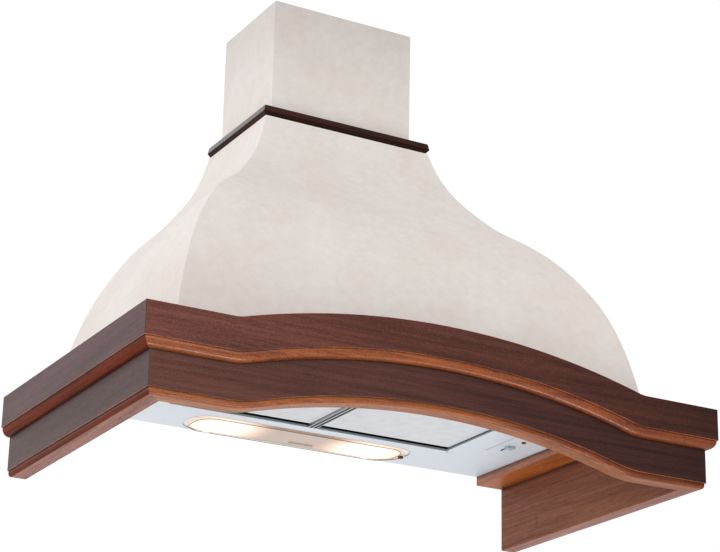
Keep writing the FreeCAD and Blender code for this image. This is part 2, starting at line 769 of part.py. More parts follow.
rail_cuts = []
rail_screws = []
for _, side in SIDES:
    rail_cuts.append(bore(side * size.fixing_spacing / 2, -size.rib_thick, fixing_z,
                          "y", size.fixing_radius, size.rib_thick))
    for z in screw_heights:
        rail_cuts.append(bore(side * screw_x, -size.rib_thick, z, "y",
                              size.rail_screw_radius, size.rib_thick))
        rail_cuts.append(cylinder(side * screw_x, -size.rail_screw_seat, z, "y",
                                  size.rail_screw_head, size.rail_screw_seat + OVER))
        rail_screws.append(fuse(
            cylinder(side * screw_x, -size.rail_screw_length, z, "y",
                     size.rail_screw_radius, size.rail_screw_length - size.rail_screw_sunk),
            cylinder(side * screw_x, -size.rail_screw_seat, z, "y",
                     size.rail_screw_head, size.rail_screw_seat - size.rail_screw_sunk)))
rail = box(-rail_half, -size.rib_thick, rail_low, rail_half * 2, size.rib_thick, size.rail_height)
node("hanging_rail", cut(rail, *rail_cuts))
node("rail_screws", group(*rail_screws))

neck_inside = neck_half - size.shell_thick - size.rib_gap
neck_deep = neck_front - size.shell_thick * lean - size.rib_gap
neck_low = neck_z - size.rib_thick
neck_board = box(-neck_inside, -neck_deep, neck_low, neck_inside * 2, neck_deep, size.rib_thick)
duct_hole = bore(0, duct_y, neck_low, "z", size.collar_radius + size.duct_room, size.rib_thick)
node("neck_board", cut(neck_board, duct_hole))

# --- neck trim: a bevelled nosing in three mitred lengths ----------------------------------------

trim_half = chimney_half + size.trim_width
trim_front = size.chimney_depth + size.trim_width
trim_high = neck_z + size.trim_height


def trim_profile(inner, outer, sign):
    """Section of the nosing: a face that leans out to a crest, and a slope back under it."""
    return [
        (sign * inner, neck_z), (sign * (outer - size.trim_under), neck_z),
        (sign * outer, neck_z + size.trim_crest),
        (sign * (outer - size.trim_lean), trim_high - size.trim_arris),
        (sign * (outer - size.trim_lean - size.trim_arris), trim_high), (sign * inner, trim_high),
    ]


for side_name, side in SIDES:
    owner = body()
    pad(owner, sketch(owner, "XZ_Plane", [trim_profile(chimney_half, trim_half, side)]), trim_front)
    mitre_side(owner, side, size.trim_width, trim_half, -trim_front)
    node(f"trim_{side_name}", owner)
owner = body()
pad(owner, sketch(owner, "YZ_Plane", [trim_profile(size.chimney_depth, trim_front, -1)]),
    trim_half * 2, both_ways=True)
mitre_front(owner, size.trim_width, trim_half, -trim_front)
node("trim_front", owner)

# --- chimney: three mitred panels with battens in the corners ------------------------------------

wall = size.chimney_wall
wall_half = chimney_half - wall
wall_front = wall - size.chimney_depth


def upright(label, outline):
    owner = body()
    pad(owner, sketch(owner, "XY_Plane", [outline], neck_z), size.chimney_height)
    node(label, owner)


upright("chimney_front", [
    (-chimney_half, -size.chimney_depth), (chimney_half, -size.chimney_depth),
    (wall_half, wall_front), (-wall_half, wall_front),
])
for side_name, side in SIDES:
    upright(f"chimney_{side_name}", [
        (side * chimney_half, 0), (side * chimney_half, -size.chimney_depth),
        (side * wall_half, wall_front), (side * wall_half, 0),
    ])
battens = []
for _, side in SIDES:
    battens.append(box(span(side, wall_half - size.batten_side, wall_half), wall_front, neck_z,
                       size.batten_side, size.batten_side, size.chimney_height - size.bracket_drop))
node("chimney_battens", group(*battens))

bracket_low = neck_z + size.chimney_height - size.bracket_drop - size.bracket_height
bracket_parts = [box(-wall_half, -size.bracket_thick, bracket_low,
                     wall_half * 2, size.bracket_thick, size.bracket_height)]
bracket_holes = []
for _, side in SIDES:
    bracket_parts.append(box(span(side, wall_half - size.bracket_thick, wall_half),
                             -size.bracket_leg, bracket_low,
                             size.bracket_thick, size.bracket_leg, size.bracket_height))
    bracket_holes.append(bore(side * size.bracket_spacing / 2, -size.bracket_thick,
                              bracket_low + size.bracket_height / 2, "y",
                              size.bracket_hole_radius, size.bracket_thick))
node("chimney_wall_bracket", cut(fuse(*bracket_parts), *bracket_holes))

# --- insert plate, with the filter opening, the lamp recess and the strip's slot -----------------

plate_low = foot_z
plate_top = plate_low + size.sheet
plate_half = deck_inner + size.plate_lap
plate_front = deck_front_inner - size.plate_lap
inlet_half = plate_half - size.inlet_side_margin
inlet_rear = -size.inlet_from_wall
inlet_front = plate_front + size.inlet_front_margin
inlet_deep = inlet_rear - inlet_front
lip_half = inlet_half + size.sheet

filter_low = plate_low + size.filter_recess
filter_front = inlet_front + size.filter_front_gap
filter_rear = inlet_rear - size.filter_rear_gap
filter_near = size.divider_width / 2 + size.filter_side_gap
filter_far = inlet_half - size.filter_side_gap
filter_middle = (filter_near + filter_far) / 2
pivot_y = filter_rear + size.pivot_behind
pivot_z = filter_low + size.pivot_above
pivot_hole = size.pivot_radius + size.pivot_play

lamp_left = size.lamp_centre - size.lamp_length / 2
lamp_right = size.lamp_centre + size.lamp_length / 2
lamp_rear = -size.lamp_from_wall
lamp_front = lamp_rear - size.lamp_depth
strip_right = plate_half - size.strip_from_edge
strip_left = strip_right - size.strip_width


def keeper_notch(side):
    """Room for a latch tongue in the opening's front lip, open downwards."""
    half = size.latch_tongue_width / 2 + size.keeper_play
    back = size.latch_tongue_reach + size.keeper_play - size.filter_front_gap
    return box(side * filter_middle - half, inlet_front - back, plate_low - OVER,
               half * 2, back + OVER, size.lip_height)


owner = body()
plate_outlines = [
    rectangle(-plate_half, plate_front, plate_half, -size.plate_wall_gap),
    rectangle(-inlet_half, inlet_front, inlet_half, inlet_rear),
    rounded(lamp_left, lamp_front, lamp_right, lamp_rear, size.lamp_corner),
    rectangle(strip_left - size.strip_gap, -size.strip_front, strip_right, -size.strip_rear),
]
pad(owner, sketch(owner, "XY_Plane", plate_outlines, plate_low), size.sheet)
lip = cut(
    box(-lip_half, inlet_front - size.sheet, plate_top,
        lip_half * 2, inlet_deep + size.sheet * 2, size.lip_height),
    window(-inlet_half, inlet_front, plate_top, inlet_half * 2, inlet_deep, size.lip_height))
pin_bore = bore(-lip_half, pivot_y, pivot_z, "x", pivot_hole, lip_half * 2)
node("insert_plate", cut(fuse(owner, lip), pin_bore, keeper_notch(-1), keeper_notch(1)))

# divider: a strip with two upturned sides that hold the filters' inner pins
divider_half = size.divider_width / 2
divider = fuse(
    box(-divider_half, inlet_front, plate_low, size.divider_width, inlet_deep, size.sheet),
    *[box(span(side, divider_half - size.sheet, divider_half), inlet_front, plate_low,
          size.sheet, inlet_deep, size.sheet + size.lip_height) for _, side in SIDES])
divider_bore = bore(-divider_half, pivot_y, pivot_z, "x", pivot_hole, size.divider_width)
node("filter_divider", cut(divider, divider_bore))

# casing: a wide plenum over the filters and a narrower tower for the blower
tower_half = size.tower_half_width
tower_front = fan_y - scroll_reach - size.scroll_wall - size.tower_room
tower_rear = duct_y + flange_half + size.tower_edge
skin = size.casing_wall
plenum_half = inlet_half + size.plenum_margin
plenum_front = inlet_front - size.plenum_margin
plenum_rear = inlet_rear + size.plenum_margin
plenum_deep = plenum_rear - plenum_front
plenum_top = size.plenum_height
outlet_half = size.scroll_width / 2 - size.scroll_wall
casing_outside = [
    box(-plenum_half, plenum_front, plate_top, plenum_half * 2, plenum_deep, plenum_top - plate_top),
    box(-tower_half, tower_front, plenum_top - skin,
        tower_half * 2, tower_rear - tower_front, tower_top - plenum_top + skin),
]
casing_inside = [
    box(skin - plenum_half, plenum_front + skin, plate_top - OVER,
        (plenum_half - skin) * 2, plenum_deep - skin * 2, plenum_top - skin - plate_top + OVER),
    box(skin - tower_half, tower_front + skin, plenum_top,
        (tower_half - skin) * 2, tower_rear - tower_front - skin * 2, tower_top - skin - plenum_top),
    window(skin - tower_half, tower_front + skin, plenum_top - skin,
           (tower_half - skin) * 2, plenum_rear - tower_front - skin * 2, skin),
    window(-outlet_half, duct_y - size.outlet_depth / 2, tower_top - skin,
           outlet_half * 2, size.outlet_depth, skin),
]
node("insert_casing", cut(fuse(*casing_outside), *casing_inside))

# brackets: angles that hold the plate to the side panels, which lean in over them
clips = []
clip_outer = foot_half - size.shell_thick - size.clip_clear
for _, side in SIDES:
    for share in CLIP_PLACES:
        y = plate_front * share - size.clip_width / 2
        clips.append(fuse(
            box(span(side, clip_outer - size.clip_leg, clip_outer), y, plate_top,
                size.clip_leg, size.clip_width, size.clip_thick),
            box(span(side, clip_outer - size.clip_thick, clip_outer), y, plate_top,
                size.clip_thick, size.clip_width, size.clip_leg)))
node("insert_brackets", group(*clips))

# --- grease filters: frame, mesh and latch on each side ------------------------------------------

filter_wide = filter_far - filter_near
filter_deep = filter_rear - filter_front
border = size.filter_border
pin_out = size.filter_side_gap + size.sheet - size.pivot_side_play
slide_top = filter_low - size.latch_gap
slide_low = slide_top - size.latch_thick
slide_front = filter_front + size.latch_setback
for side_name, side in SIDES:
    left_edge = span(side, filter_near, filter_far)
    ring = cut(
        box(left_edge, filter_front, filter_low, filter_wide, filter_deep, size.filter_thick),
        window(left_edge + border, filter_front + border, filter_low,
               filter_wide - border * 2, filter_deep - border * 2, size.filter_thick))
    pivots = []
    for ear, pin in ((filter_far - size.pivot_ear, filter_far - size.pivot_ear),
                     (filter_near, filter_near - pin_out)):
        pin_length = size.pivot_ear + pin_out
        pivots.append(cylinder(span(side, pin, pin + pin_length), pivot_y, pivot_z, "x",
                               size.pivot_radius, pin_length))
        pivots.append(box(span(side, ear, ear + size.pivot_ear), filter_rear - OVER,
                          pivot_z - size.pivot_radius,
                          size.pivot_ear, size.pivot_behind + OVER, size.pivot_radius * 2))
    node(f"filter_frame_{side_name}", fuse(ring, *pivots))
    node(f"filter_mesh_{side_name}", box(
        left_edge + border, filter_front + border, filter_low + size.mesh_inset,
        filter_wide - border * 2, filter_deep - border * 2, size.mesh_thick))

    middle = side * filter_middle
    node(f"filter_latch_{side_name}", fuse(
        box(middle - size.latch_width / 2, slide_front, slide_low,
            size.latch_width, size.latch_depth, size.latch_thick),
        box(middle - size.latch_tongue_width / 2, filter_front - size.latch_tongue_reach,
            slide_top - size.latch_tongue_thick, size.latch_tongue_width,
            size.latch_tongue_reach + size.latch_setback + OVER, size.latch_tongue_thick),
        box(middle - size.latch_width / 4, slide_front + size.latch_depth / 2,
            slide_low - size.latch_ridge, size.latch_width / 2, size.latch_ridge,
            size.latch_ridge + OVER)))

# --- lamp: tray, hinged cover with its end knob, holders and bulbs -------------------------------

pan_left = lamp_left + size.tray_end_margin
pan_right = lamp_right - size.tray_end_margin
pan_front = lamp_front + size.tray_side_margin
pan_rear = lamp_rear - size.tray_side_margin
pan_corner = size.lamp_corner - size.tray_side_margin
lens_left = lamp_left + size.lens_left_gap
lens_right = lamp_right - size.lens_right_gap
lens_rear = lamp_rear - size.lens_rear_gap
lens_front = lamp_front + size.lens_front_gap
lens_top = plate_top - size.lens_gap
lens_low = lens_top - size.lens_thick
hinge_y = lens_rear + size.knuckle_radius - size.knuckle_sink
hinge_z = lens_top - size.knuckle_radius
hinge_end = size.hinge_inset + size.lens_corner
hinge_places = (lens_left + hinge_end, lens_right - hinge_end)
lamp_knob_x = lens_right + size.knob_beyond
lamp_knob_y = (lens_front + lens_rear) / 2


def lamp_sheet(owner, margin, corner, low, thick):
    """A rounded plate that follows the lamp recess, larger by a margin."""
    outline = rounded(lamp_left - margin, lamp_front - margin, lamp_right + margin, lamp_rear + margin,
                      corner)
    pad(owner, sketch(owner, "XY_Plane", [outline], low), thick)


owner = body()
lamp_sheet(owner, size.tray_lap, size.lamp_corner + size.tray_lap, plate_top, size.tray_wall)
pad(owner, sketch(owner, "XY_Plane", [rounded(pan_left, pan_front, pan_right, pan_rear, pan_corner)],
                  plate_top), size.tray_height)
pan_inside = rounded(pan_left + size.tray_wall, pan_front + size.tray_wall,
                     pan_right - size.tray_wall, pan_rear - size.tray_wall, pan_corner - size.tray_wall)
pocket(owner, sketch(owner, "XY_Plane", [pan_inside], plate_top + size.tray_height - size.tray_wall),
       size.tray_height)
pin_reach = size.knuckle_length + size.ear_gap * 2 + size.ear_thick * 2
ears = []
tray_cuts = [bore(lamp_knob_x, lamp_knob_y, plate_top, "z", size.knob_stem + size.stud_room,
                  size.tray_wall)]
hinge_pins = []
for x in hinge_places:
    for ear_start in (x - pin_reach / 2, x + pin_reach / 2 - size.ear_thick):
        ears.append(box(ear_start, lens_rear + size.hinge_play, hinge_z - size.knuckle_radius,
                        size.ear_thick, (size.knuckle_radius - size.hinge_play) * 2,
                        size.knuckle_radius * 2 + size.lens_gap))
    tray_cuts.append(bore(x - pin_reach / 2, hinge_y, hinge_z, "x", size.lamp_pin_radius, pin_reach))
    hinge_pins.append(cylinder(x - pin_reach / 2, hinge_y, hinge_z, "x", size.lamp_pin_radius, pin_reach))
node("lamp_tray", cut(fuse(owner, *ears), *tray_cuts))
node("lamp_hinge_pins", group(*hinge_pins))

owner = body()
pad(owner, sketch(owner, "XY_Plane", [rounded(lens_left, lens_front, lens_right, lens_rear,
                                              size.lens_corner)], lens_low), size.lens_thick)
low_face = lens_low.value
round_edges(owner, lambda p: abs(p.z - low_face) < ON_FACE, size.lens_round)
tab_half = size.knob_radius + size.tab_margin
tab = box(lens_right - size.tab_lap, lamp_knob_y - tab_half, lens_top - size.tab_thick,
          size.tab_lap + size.knob_beyond + tab_half, tab_half * 2, size.tab_thick)
knuckles = []
lens_bores = [bore(lamp_knob_x, lamp_knob_y, lens_low, "z", size.knob_stem + size.pivot_play,
                   size.lens_thick)]
for x in hinge_places:
    start = x - size.knuckle_length / 2
    knuckles.append(cylinder(start, hinge_y, hinge_z, "x", size.knuckle_radius, size.knuckle_length))
    knuckles.append(box(start, lens_rear - OVER, hinge_z - size.knuckle_web / 2,
                        size.knuckle_length, hinge_y - lens_rear + OVER, size.knuckle_web))
    lens_bores.append(bore(start, hinge_y, hinge_z, "x", size.lamp_pin_radius + size.pivot_play,
                           size.knuckle_length))
    relief = size.ear_thick + size.ear_gap * 2
    for relief_x in (start - relief, start + size.knuckle_length):
        lens_bores.append(window(relief_x, lens_rear - size.ear_relief, lens_low,
                                 relief, size.ear_relief + OVER, size.lens_thick))
node("lamp_lens", cut(fuse(owner, tab, *knuckles), *lens_bores))

knob_top = lens_top - size.tab_thick - size.knob_gap
node("lamp_knob", fuse(
    cylinder(lamp_knob_x, lamp_knob_y, knob_top - size.knob_height, "z",
             size.knob_radius, size.knob_height),
    cylinder(lamp_knob_x, lamp_knob_y, knob_top - OVER, "z",
             size.knob_stem, size.knob_stem_length + OVER)))

bulb_y = (pan_front + pan_rear) / 2
bulb_z = plate_top + size.bulb_height
end_room = size.tray_wall + size.holder_gap
holders = []
bulbs = []
for holder_x, bulb_x in (
        (pan_left + end_room, pan_left + end_room + size.holder_length),
        (pan_right - end_room - size.holder_length,
         pan_right - end_room - size.holder_length - size.bulb_length)):
    holders.append(cylinder(holder_x, bulb_y, bulb_z, "x", size.holder_radius, size.holder_length))
    bulbs.append(cylinder(bulb_x, bulb_y, bulb_z, "x", size.bulb_radius, size.bulb_length))
node("lampholders", group(*holders))
node("lamp_bulbs", group(*bulbs))

# --- controls: strip, switch box, two sliders and a pilot lamp -----------------------------------

strip_long = size.strip_front - size.strip_rear
slider_x = strip_left + size.slider_from_edge
pilot_x = strip_left + size.pilot_from_edge
pilot_y = -size.pilot_from_wall
pilot_low = plate_low - size.pilot_proud
speed_y = -size.speed_from_wall
light_y = -size.light_from_wall


def slider_slot(y, travel):
    half = size.slider_stem_width / 2 + size.slider_play
    return window(slider_x - half, y - size.slider_stem_depth / 2 - size.slider_play, plate_low,
                  half * 2, size.slider_stem_depth + travel + size.slider_play * 2, size.sheet)


def slider(label, y):
    """A cap below the strip, a stem through its slot and a foot inside the box."""
    cap_top = plate_low - size.slider_play
    foot_low = plate_top + size.slider_play
    node(label, fuse(
        box(slider_x - size.slider_width / 2, y - size.slider_depth / 2, cap_top - size.slider_cap,
            size.slider_width, size.slider_depth, size.slider_cap),
        box(slider_x - size.slider_stem_width / 2, y - size.slider_stem_depth / 2, cap_top - OVER,
            size.slider_stem_width, size.slider_stem_depth, foot_low - cap_top + OVER * 2),
        box(slider_x - size.slider_width / 2, y - size.slider_stem_depth / 2, foot_low,
            size.slider_width, size.slider_stem_depth, size.slider_foot)))


node("control_strip", cut(
    box(strip_left, -size.strip_front, plate_low, size.strip_width, strip_long, size.sheet),
    slider_slot(speed_y, size.speed_travel), slider_slot(light_y, size.light_travel),
    bore(pilot_x, pilot_y, plate_low, "z", size.pilot_radius, size.sheet)))
box_left = strip_left - size.box_margin
box_front = -size.strip_front - size.box_margin
box_wide = size.strip_width + size.box_margin * 2
box_long = strip_long + size.box_margin * 2
ledge = size.box_margin + size.box_wall
node("control_box", cut(
    box(box_left, box_front, plate_top, box_wide, box_long, size.box_height),
    box(box_left + ledge, box_front + ledge, plate_top - OVER,
        box_wide - ledge * 2, box_long - ledge * 2, size.box_height - size.box_wall + OVER),
    cylinder(pilot_x, pilot_y, pilot_low, "z", size.pilot_radius + size.pilot_room,
             size.pilot_length + OVER)))
slider("speed_slider", speed_y)
slider("light_slider", light_y)
node("pilot_lamp", cylinder(pilot_x, pilot_y, pilot_low, "z", size.pilot_radius, size.pilot_length))

# --- blower: scroll housing, impeller on the motor's shaft ---------------------------------------

FAN = Vector(0, fan_y.value, fan_z.value)
SCROLL_START = 60
SCROLL_END = 360
SCROLL_STEP = 20


def scroll_face(inset, top):
    """Side view of the scroll, moved inwards by an inset: a spiral that opens into the outlet."""
    points = []
    for degrees in range(SCROLL_START, SCROLL_END + 1, SCROLL_STEP):
        turned = (degrees - SCROLL_START) / (SCROLL_END - SCROLL_START)
        radius = between(tongue_radius, scroll_reach, turned) - inset
        angle = math.radians(degrees)
        points.append(FAN + Vector(0, radius * math.cos(angle), radius * math.sin(angle)))
    front = (duct_y - size.outlet_depth / 2).value - size.scroll_wall.value + inset
    outer_top = Vector(0, points[-1].y, top)
    inner_top = Vector(0, front, top)
    sides = [Part.makeLine(points[-1], outer_top), Part.makeLine(outer_top, inner_top),
             Part.makeLine(inner_top, points[0])]
    return Part.Face(Part.Wire([curve(points)] + sides))


def along_x(face, width):
    solid = face.extrude(Vector(width, 0, 0))
    solid.translate(Vector(-width / 2, 0, 0))
    return solid


scroll_outer = size.scroll_width.value
scroll_skin = size.scroll_wall.value
scroll_top = (tower_top - skin).value
scroll = along_x(scroll_face(-scroll_skin, scroll_top), scroll_outer)
scroll_room = along_x(scroll_face(0.0, scroll_top + OVER), scroll_outer - 2 * scroll_skin)
side_inlets = Part.makeCylinder(size.inlet_radius.value, scroll_outer + 2 * OVER,
                                FAN - Vector(scroll_outer / 2 + OVER, 0, 0), Vector(1, 0, 0))
node("scroll_housing", feature(scroll.cut([scroll_room, side_inlets])))

fan_width = size.scroll_width - size.scroll_wall * 2 - size.fan_side_gap * 2
fan_half = fan_width / 2
hub_half = size.hub_length / 2
fan_parts = [
    cylinder(-size.fan_rim / 2, fan_y, fan_z, "x", size.fan_radius, size.fan_rim),
    cylinder(-hub_half, fan_y, fan_z, "x", size.hub_radius, size.hub_length),
]
for x in (-fan_half, fan_half - size.fan_rim):
    fan_parts.append(cut(
        cylinder(x, fan_y, fan_z, "x", size.fan_radius, size.fan_rim),
        bore(x, fan_y, fan_z, "x", size.fan_radius - size.fan_ring, size.fan_rim)))
blade_inset = size.blade_inset.value
blades = []
for count in range(int(size.blade_count.value)):
    blade = Part.makeBox(fan_width.value - 2 * blade_inset, size.fan_ring.value - 2 * blade_inset,
                         size.blade_thick.value,
                         Vector(blade_inset - fan_half.value,
                                (size.fan_radius - size.fan_ring).value + blade_inset, 0))
    blade.rotate(Vector(), Vector(1, 0, 0), 360 * count / size.blade_count.value)
    blade.translate(FAN)
    blades.append(blade)
fan_parts.append(feature(Part.makeCompound(blades)))
node("impeller", cut(fuse(*fan_parts), bore(-hub_half, fan_y, fan_z, "x", size.shaft_radius,
                                            size.hub_length)))

motor_right = -size.scroll_width / 2 - size.motor_plate
shaft_left = motor_right - size.motor_bore_depth + size.shaft_end_gap
node("motor_shaft", cylinder(shaft_left, fan_y, fan_z, "x", size.shaft_radius, hub_half - shaft_left))
node("motor", cut(
    cylinder(motor_right - size.motor_length, fan_y, fan_z, "x", size.motor_radius, size.motor_length),
    cylinder(motor_right - size.motor_bore_depth, fan_y, fan_z, "x",
             size.shaft_radius + size.pivot_play, size.motor_bore_depth + OVER)))

bracket_arms = []
for count in range(ARM_COUNT):
    arm = doc.addObject("Part::Box", "Arm")
    bind(arm, "Length", size.motor_plate)
    bind(arm, "Width", size.arm_width)
    bind(arm, "Height", size.inlet_radius + size.arm_lap)
    turn = Rotation(Vector(1, 0, 0), 360 * count / ARM_COUNT)
    shift = turn.multVec(Vector(0, -1, 0))
    arm.Placement = Placement(Vector(), turn)
    place(arm, motor_right, fan_y + size.arm_width / 2 * shift.y, fan_z + size.arm_width / 2 * shift.z)
    bracket_arms.append(arm)
node("motor_bracket", cut(
    fuse(cylinder(motor_right, fan_y, fan_z, "x", size.bracket_ring, size.motor_plate), *bracket_arms),
    bore(motor_right, fan_y, fan_z, "x", size.bracket_bore, size.motor_plate)))

# --- duct collar with its back-draught damper ----------------------------------------------------

collar_inner = size.collar_radius - size.collar_wall
collar_tall = size.collar_flange + size.collar_height
damper_z = tower_top + size.collar_flange + size.damper_height
pin_half = size.collar_radius - size.damper_pin_short
tube_half = collar_inner - size.damper_end_gap
collar_cuts = [bore(0, duct_y, tower_top, "z", collar_inner, collar_tall)]
damper_pins = []
flaps = []
for flap_name, toward in (("front", -1), ("rear", 1)):
    pin_y = duct_y + toward * size.damper_apart
    damper_pins.append(cylinder(-pin_half, pin_y, damper_z, "x", size.damper_pin_radius, pin_half * 2))
    collar_cuts.append(bore(-size.collar_radius, pin_y, damper_z, "x", size.damper_pin_radius,
                            size.collar_radius * 2))
    disc = cylinder(0, duct_y, damper_z - size.flap_thick / 2, "z", collar_inner - size.flap_gap,
                    size.flap_thick)
    other_half = window(-size.collar_radius,
                        pin_y if toward < 0 else pin_y - size.collar_radius * 2,
                        damper_z - size.flap_thick / 2,
                        size.collar_radius * 2, size.collar_radius * 2, size.flap_thick)
    tube = cylinder(-tube_half, pin_y, damper_z, "x", size.damper_knuckle, tube_half * 2)
    tube_bore = cylinder(-size.collar_radius, pin_y, damper_z, "x",
                         size.damper_pin_radius + size.pivot_play, size.collar_radius * 2)
    flaps.append((f"damper_flap_{flap_name}", cut(fuse(cut(disc, other_half), tube), tube_bore)))
node("duct_collar", cut(
    fuse(box(-flange_half, duct_y - flange_half, tower_top, flange_half * 2, flange_half * 2,
             size.collar_flange),
         cylinder(0, duct_y, tower_top, "z", size.collar_radius, collar_tall)),
    *collar_cuts))
for label, flap in flaps:
    node(label, flap)
node("damper_pins", group(*damper_pins))

# --- electrics: terminal box with its gland ------------------------------------------------------

terminal_x = tower_half + size.terminal_gap
terminal_y = -size.terminal_from_wall
node("terminal_box", box(terminal_x, terminal_y, plenum_top,
                         size.terminal_length, size.terminal_width, size.terminal_height))
gland_x = terminal_x + size.terminal_length / 2
gland_y = terminal_y + size.terminal_width / 2
gland_z = plenum_top + size.terminal_height
node("cable_gland", cut(
    cylinder(gland_x, gland_y, gland_z, "z", size.gland_radius, size.gland_length),
    cylinder(gland_x, gland_y, gland_z + size.gland_floor, "z", size.gland_bore, size.gland_length)))

doc.recompute()

faults = []
for thing in doc.Objects:
    if "Invalid" in thing.State or "Error" in thing.State:
        faults.append(f"{thing.Name} ({thing.Label}): {thing.State}")
for thing in nodes:
    if thing.Shape.isNull() or not thing.Shape.isValid() or not thing.Shape.Solids:
        faults.append(f"{thing.Label}: no valid solid")
if faults:
    raise RuntimeError("; ".join(faults))

os.makedirs("parts", exist_ok=True)
for thing in nodes:
    thing.Shape.exportStep(f"parts/{thing.Label}.step")
print(len(nodes), "sub-parts written")
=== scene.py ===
import math

import bmesh
import bpy
from mathutils import Matrix, Vector


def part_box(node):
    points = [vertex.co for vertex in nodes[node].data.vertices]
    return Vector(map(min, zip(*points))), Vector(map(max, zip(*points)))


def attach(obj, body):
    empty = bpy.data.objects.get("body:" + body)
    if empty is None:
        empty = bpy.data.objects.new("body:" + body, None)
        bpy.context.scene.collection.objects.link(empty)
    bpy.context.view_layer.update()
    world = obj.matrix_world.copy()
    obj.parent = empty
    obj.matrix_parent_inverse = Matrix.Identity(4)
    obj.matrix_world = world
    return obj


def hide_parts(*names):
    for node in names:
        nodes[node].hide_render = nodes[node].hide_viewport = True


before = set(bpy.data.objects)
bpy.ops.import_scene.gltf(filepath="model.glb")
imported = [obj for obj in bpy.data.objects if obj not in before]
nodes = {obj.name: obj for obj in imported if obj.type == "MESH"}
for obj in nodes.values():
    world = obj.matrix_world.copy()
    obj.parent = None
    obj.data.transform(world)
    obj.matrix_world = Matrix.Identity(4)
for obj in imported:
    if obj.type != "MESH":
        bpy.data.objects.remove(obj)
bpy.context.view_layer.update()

# ---- Studio --------------------------------------------------------------------------------------
# The hood hangs in front of a white sweep, seen from low down and to the left through a long lens.
# The sweep lights it all round, the room behind the photographer is dimmer, two large soft boxes
# stand to the left and in front, and a low strip on the floor draws a bright line on the mouldings.
EYE = Vector((-1.4541, -2.8938, -1.1522))
YAW, PITCH, ROLL = -0.5023, 0.3496, 0.0216
LENS_MM = 108.38
FLOOR_Z = -2.02
FLOOR_REACH = 4.0

forward = Vector((-math.sin(YAW) * math.cos(PITCH), math.cos(YAW) * math.cos(PITCH), math.sin(PITCH)))
level = Vector((math.cos(YAW), math.sin(YAW), 0))
upright = level.cross(forward)
across = math.cos(ROLL) * level + math.sin(ROLL) * upright
upward = math.cos(ROLL) * upright - math.sin(ROLL) * level
camera_data = bpy.data.cameras.new("camera")
camera_data.lens = LENS_MM
camera_data.sensor_width = 36
camera = bpy.data.objects.new("camera", camera_data)
camera.matrix_world = Matrix((across, upward, -forward)).transposed().to_4x4()
camera.location = EYE
scene = bpy.context.scene
scene.collection.objects.link(camera)
scene.camera = camera
scene.view_settings.view_transform = "Standard"


def linear(colour):
    """An sRGB hex colour as linear red, green, blue and alpha."""
    parts = [int(colour[i:i + 2], 16) / 255 for i in (1, 3, 5)]
    return [c / 12.92 if c <= 0.04045 else ((c + 0.055) / 1.055) ** 2.4 for c in parts] + [1]


def add(tree, kind, inputs=(), **settings):
    """Adds a shader node. inputs gives its sockets a value, or the output that feeds them."""
    made = tree.nodes.new("ShaderNode" + kind)
    for name, value in settings.items():
        setattr(made, name, value)
    for socket, value in dict(inputs).items():
        if isinstance(value, bpy.types.NodeSocket):
            tree.links.new(value, made.inputs[socket])
        else:
            made.inputs[socket].default_value = value
    return made


world = bpy.data.worlds.new("sweep")
world.use_nodes = True
scene.world = world
tree = world.node_tree
tree.nodes.clear()
way = add(tree, "TexCoord").outputs["Generated"]
dim_way = add(tree, "VectorMath", {0: way, 1: (0.45, -0.82, 0.34)}, operation="DOT_PRODUCT").outputs["Value"]
sky = add(tree, "MapRange", {"Value": dim_way, "From Min": 0.35, "From Max": 0.95,
                             "To Min": 1.02, "To Max": 0.42}, interpolation_type="SMOOTHSTEP")
backdrop = add(tree, "Background", {"Color": linear("#ffffff"), "Strength": sky.outputs["Result"]})
add(tree, "OutputWorld", {"Surface": backdrop.outputs["Background"]})

for name, place, aim, size, watts, tint in (
        ("soft_box_left", (-3.2, -2.0, -0.3), (0, -0.25, -0.1), (2.4, 2.4), 32, "#f0f5ff"),
        ("soft_box_front", (0.4, -3.6, 0.5), (0, -0.25, -0.1), (2.0, 2.0), 26, "#fffdfa"),
        ("strip_below", (0.55, -0.90, -1.98), (0.55, -0.899, 0), (0.9, 0.25), 6, "#fffaf4")):
    light_data = bpy.data.lights.new(name, "AREA")
    light_data.shape = "RECTANGLE"
    light_data.size, light_data.size_y = size
    light_data.energy = watts
    light_data.color = linear(tint)[:3]
    light = bpy.data.objects.new(name, light_data)
    light.location = place
    light.rotation_euler = (Vector(aim) - Vector(place)).to_track_quat("-Z", "Y").to_euler()
    scene.collection.objects.link(light)


def new_material(name):
    """A material with nothing in it but its output, and its node tree."""
    made = bpy.data.materials.new(name)
    made.use_nodes = True
    made.node_tree.nodes.clear()
    return made, made.node_tree


def surface(tree, inputs):
    """The material's shader, joined to its output."""
    shader = add(tree, "BsdfPrincipled", inputs)
    add(tree, "OutputMaterial", {"Surface": shader.outputs["BSDF"]})


def new_piece(name, build, body, material):
    """A piece of the hood whose mesh build() makes in metres, in the hood's own frame."""
    mesh = bpy.data.meshes.new(name)
    made = bmesh.new()
    build(made)
    made.to_mesh(mesh)
    made.free()
    mesh.materials.append(material)
    piece = bpy.data.objects.new(name, mesh)
    scene.collection.objects.link(piece)
    if body:
        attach(piece, body)
    return piece


# painted studio floor: a matt near-white that throws light back up at the underside
floor_paint, tree = new_material("floor_matt_emulsion")
ripple = add(tree, "TexNoise", {"Scale": 3.0, "Detail": 3.0})
tone = add(tree, "Mix", {0: ripple.outputs["Fac"], 6: linear("#f1f0ee"), 7: linear("#f6f6f5")}, data_type="RGBA")
surface(tree, {"Base Color": tone.outputs[2], "Roughness": 0.8})
floor = new_piece("floor", lambda made: bmesh.ops.create_grid(
    made, x_segments=1, y_segments=1, size=FLOOR_REACH, matrix=Matrix.Translation((0, 0, FLOOR_Z))),
    None, floor_paint)

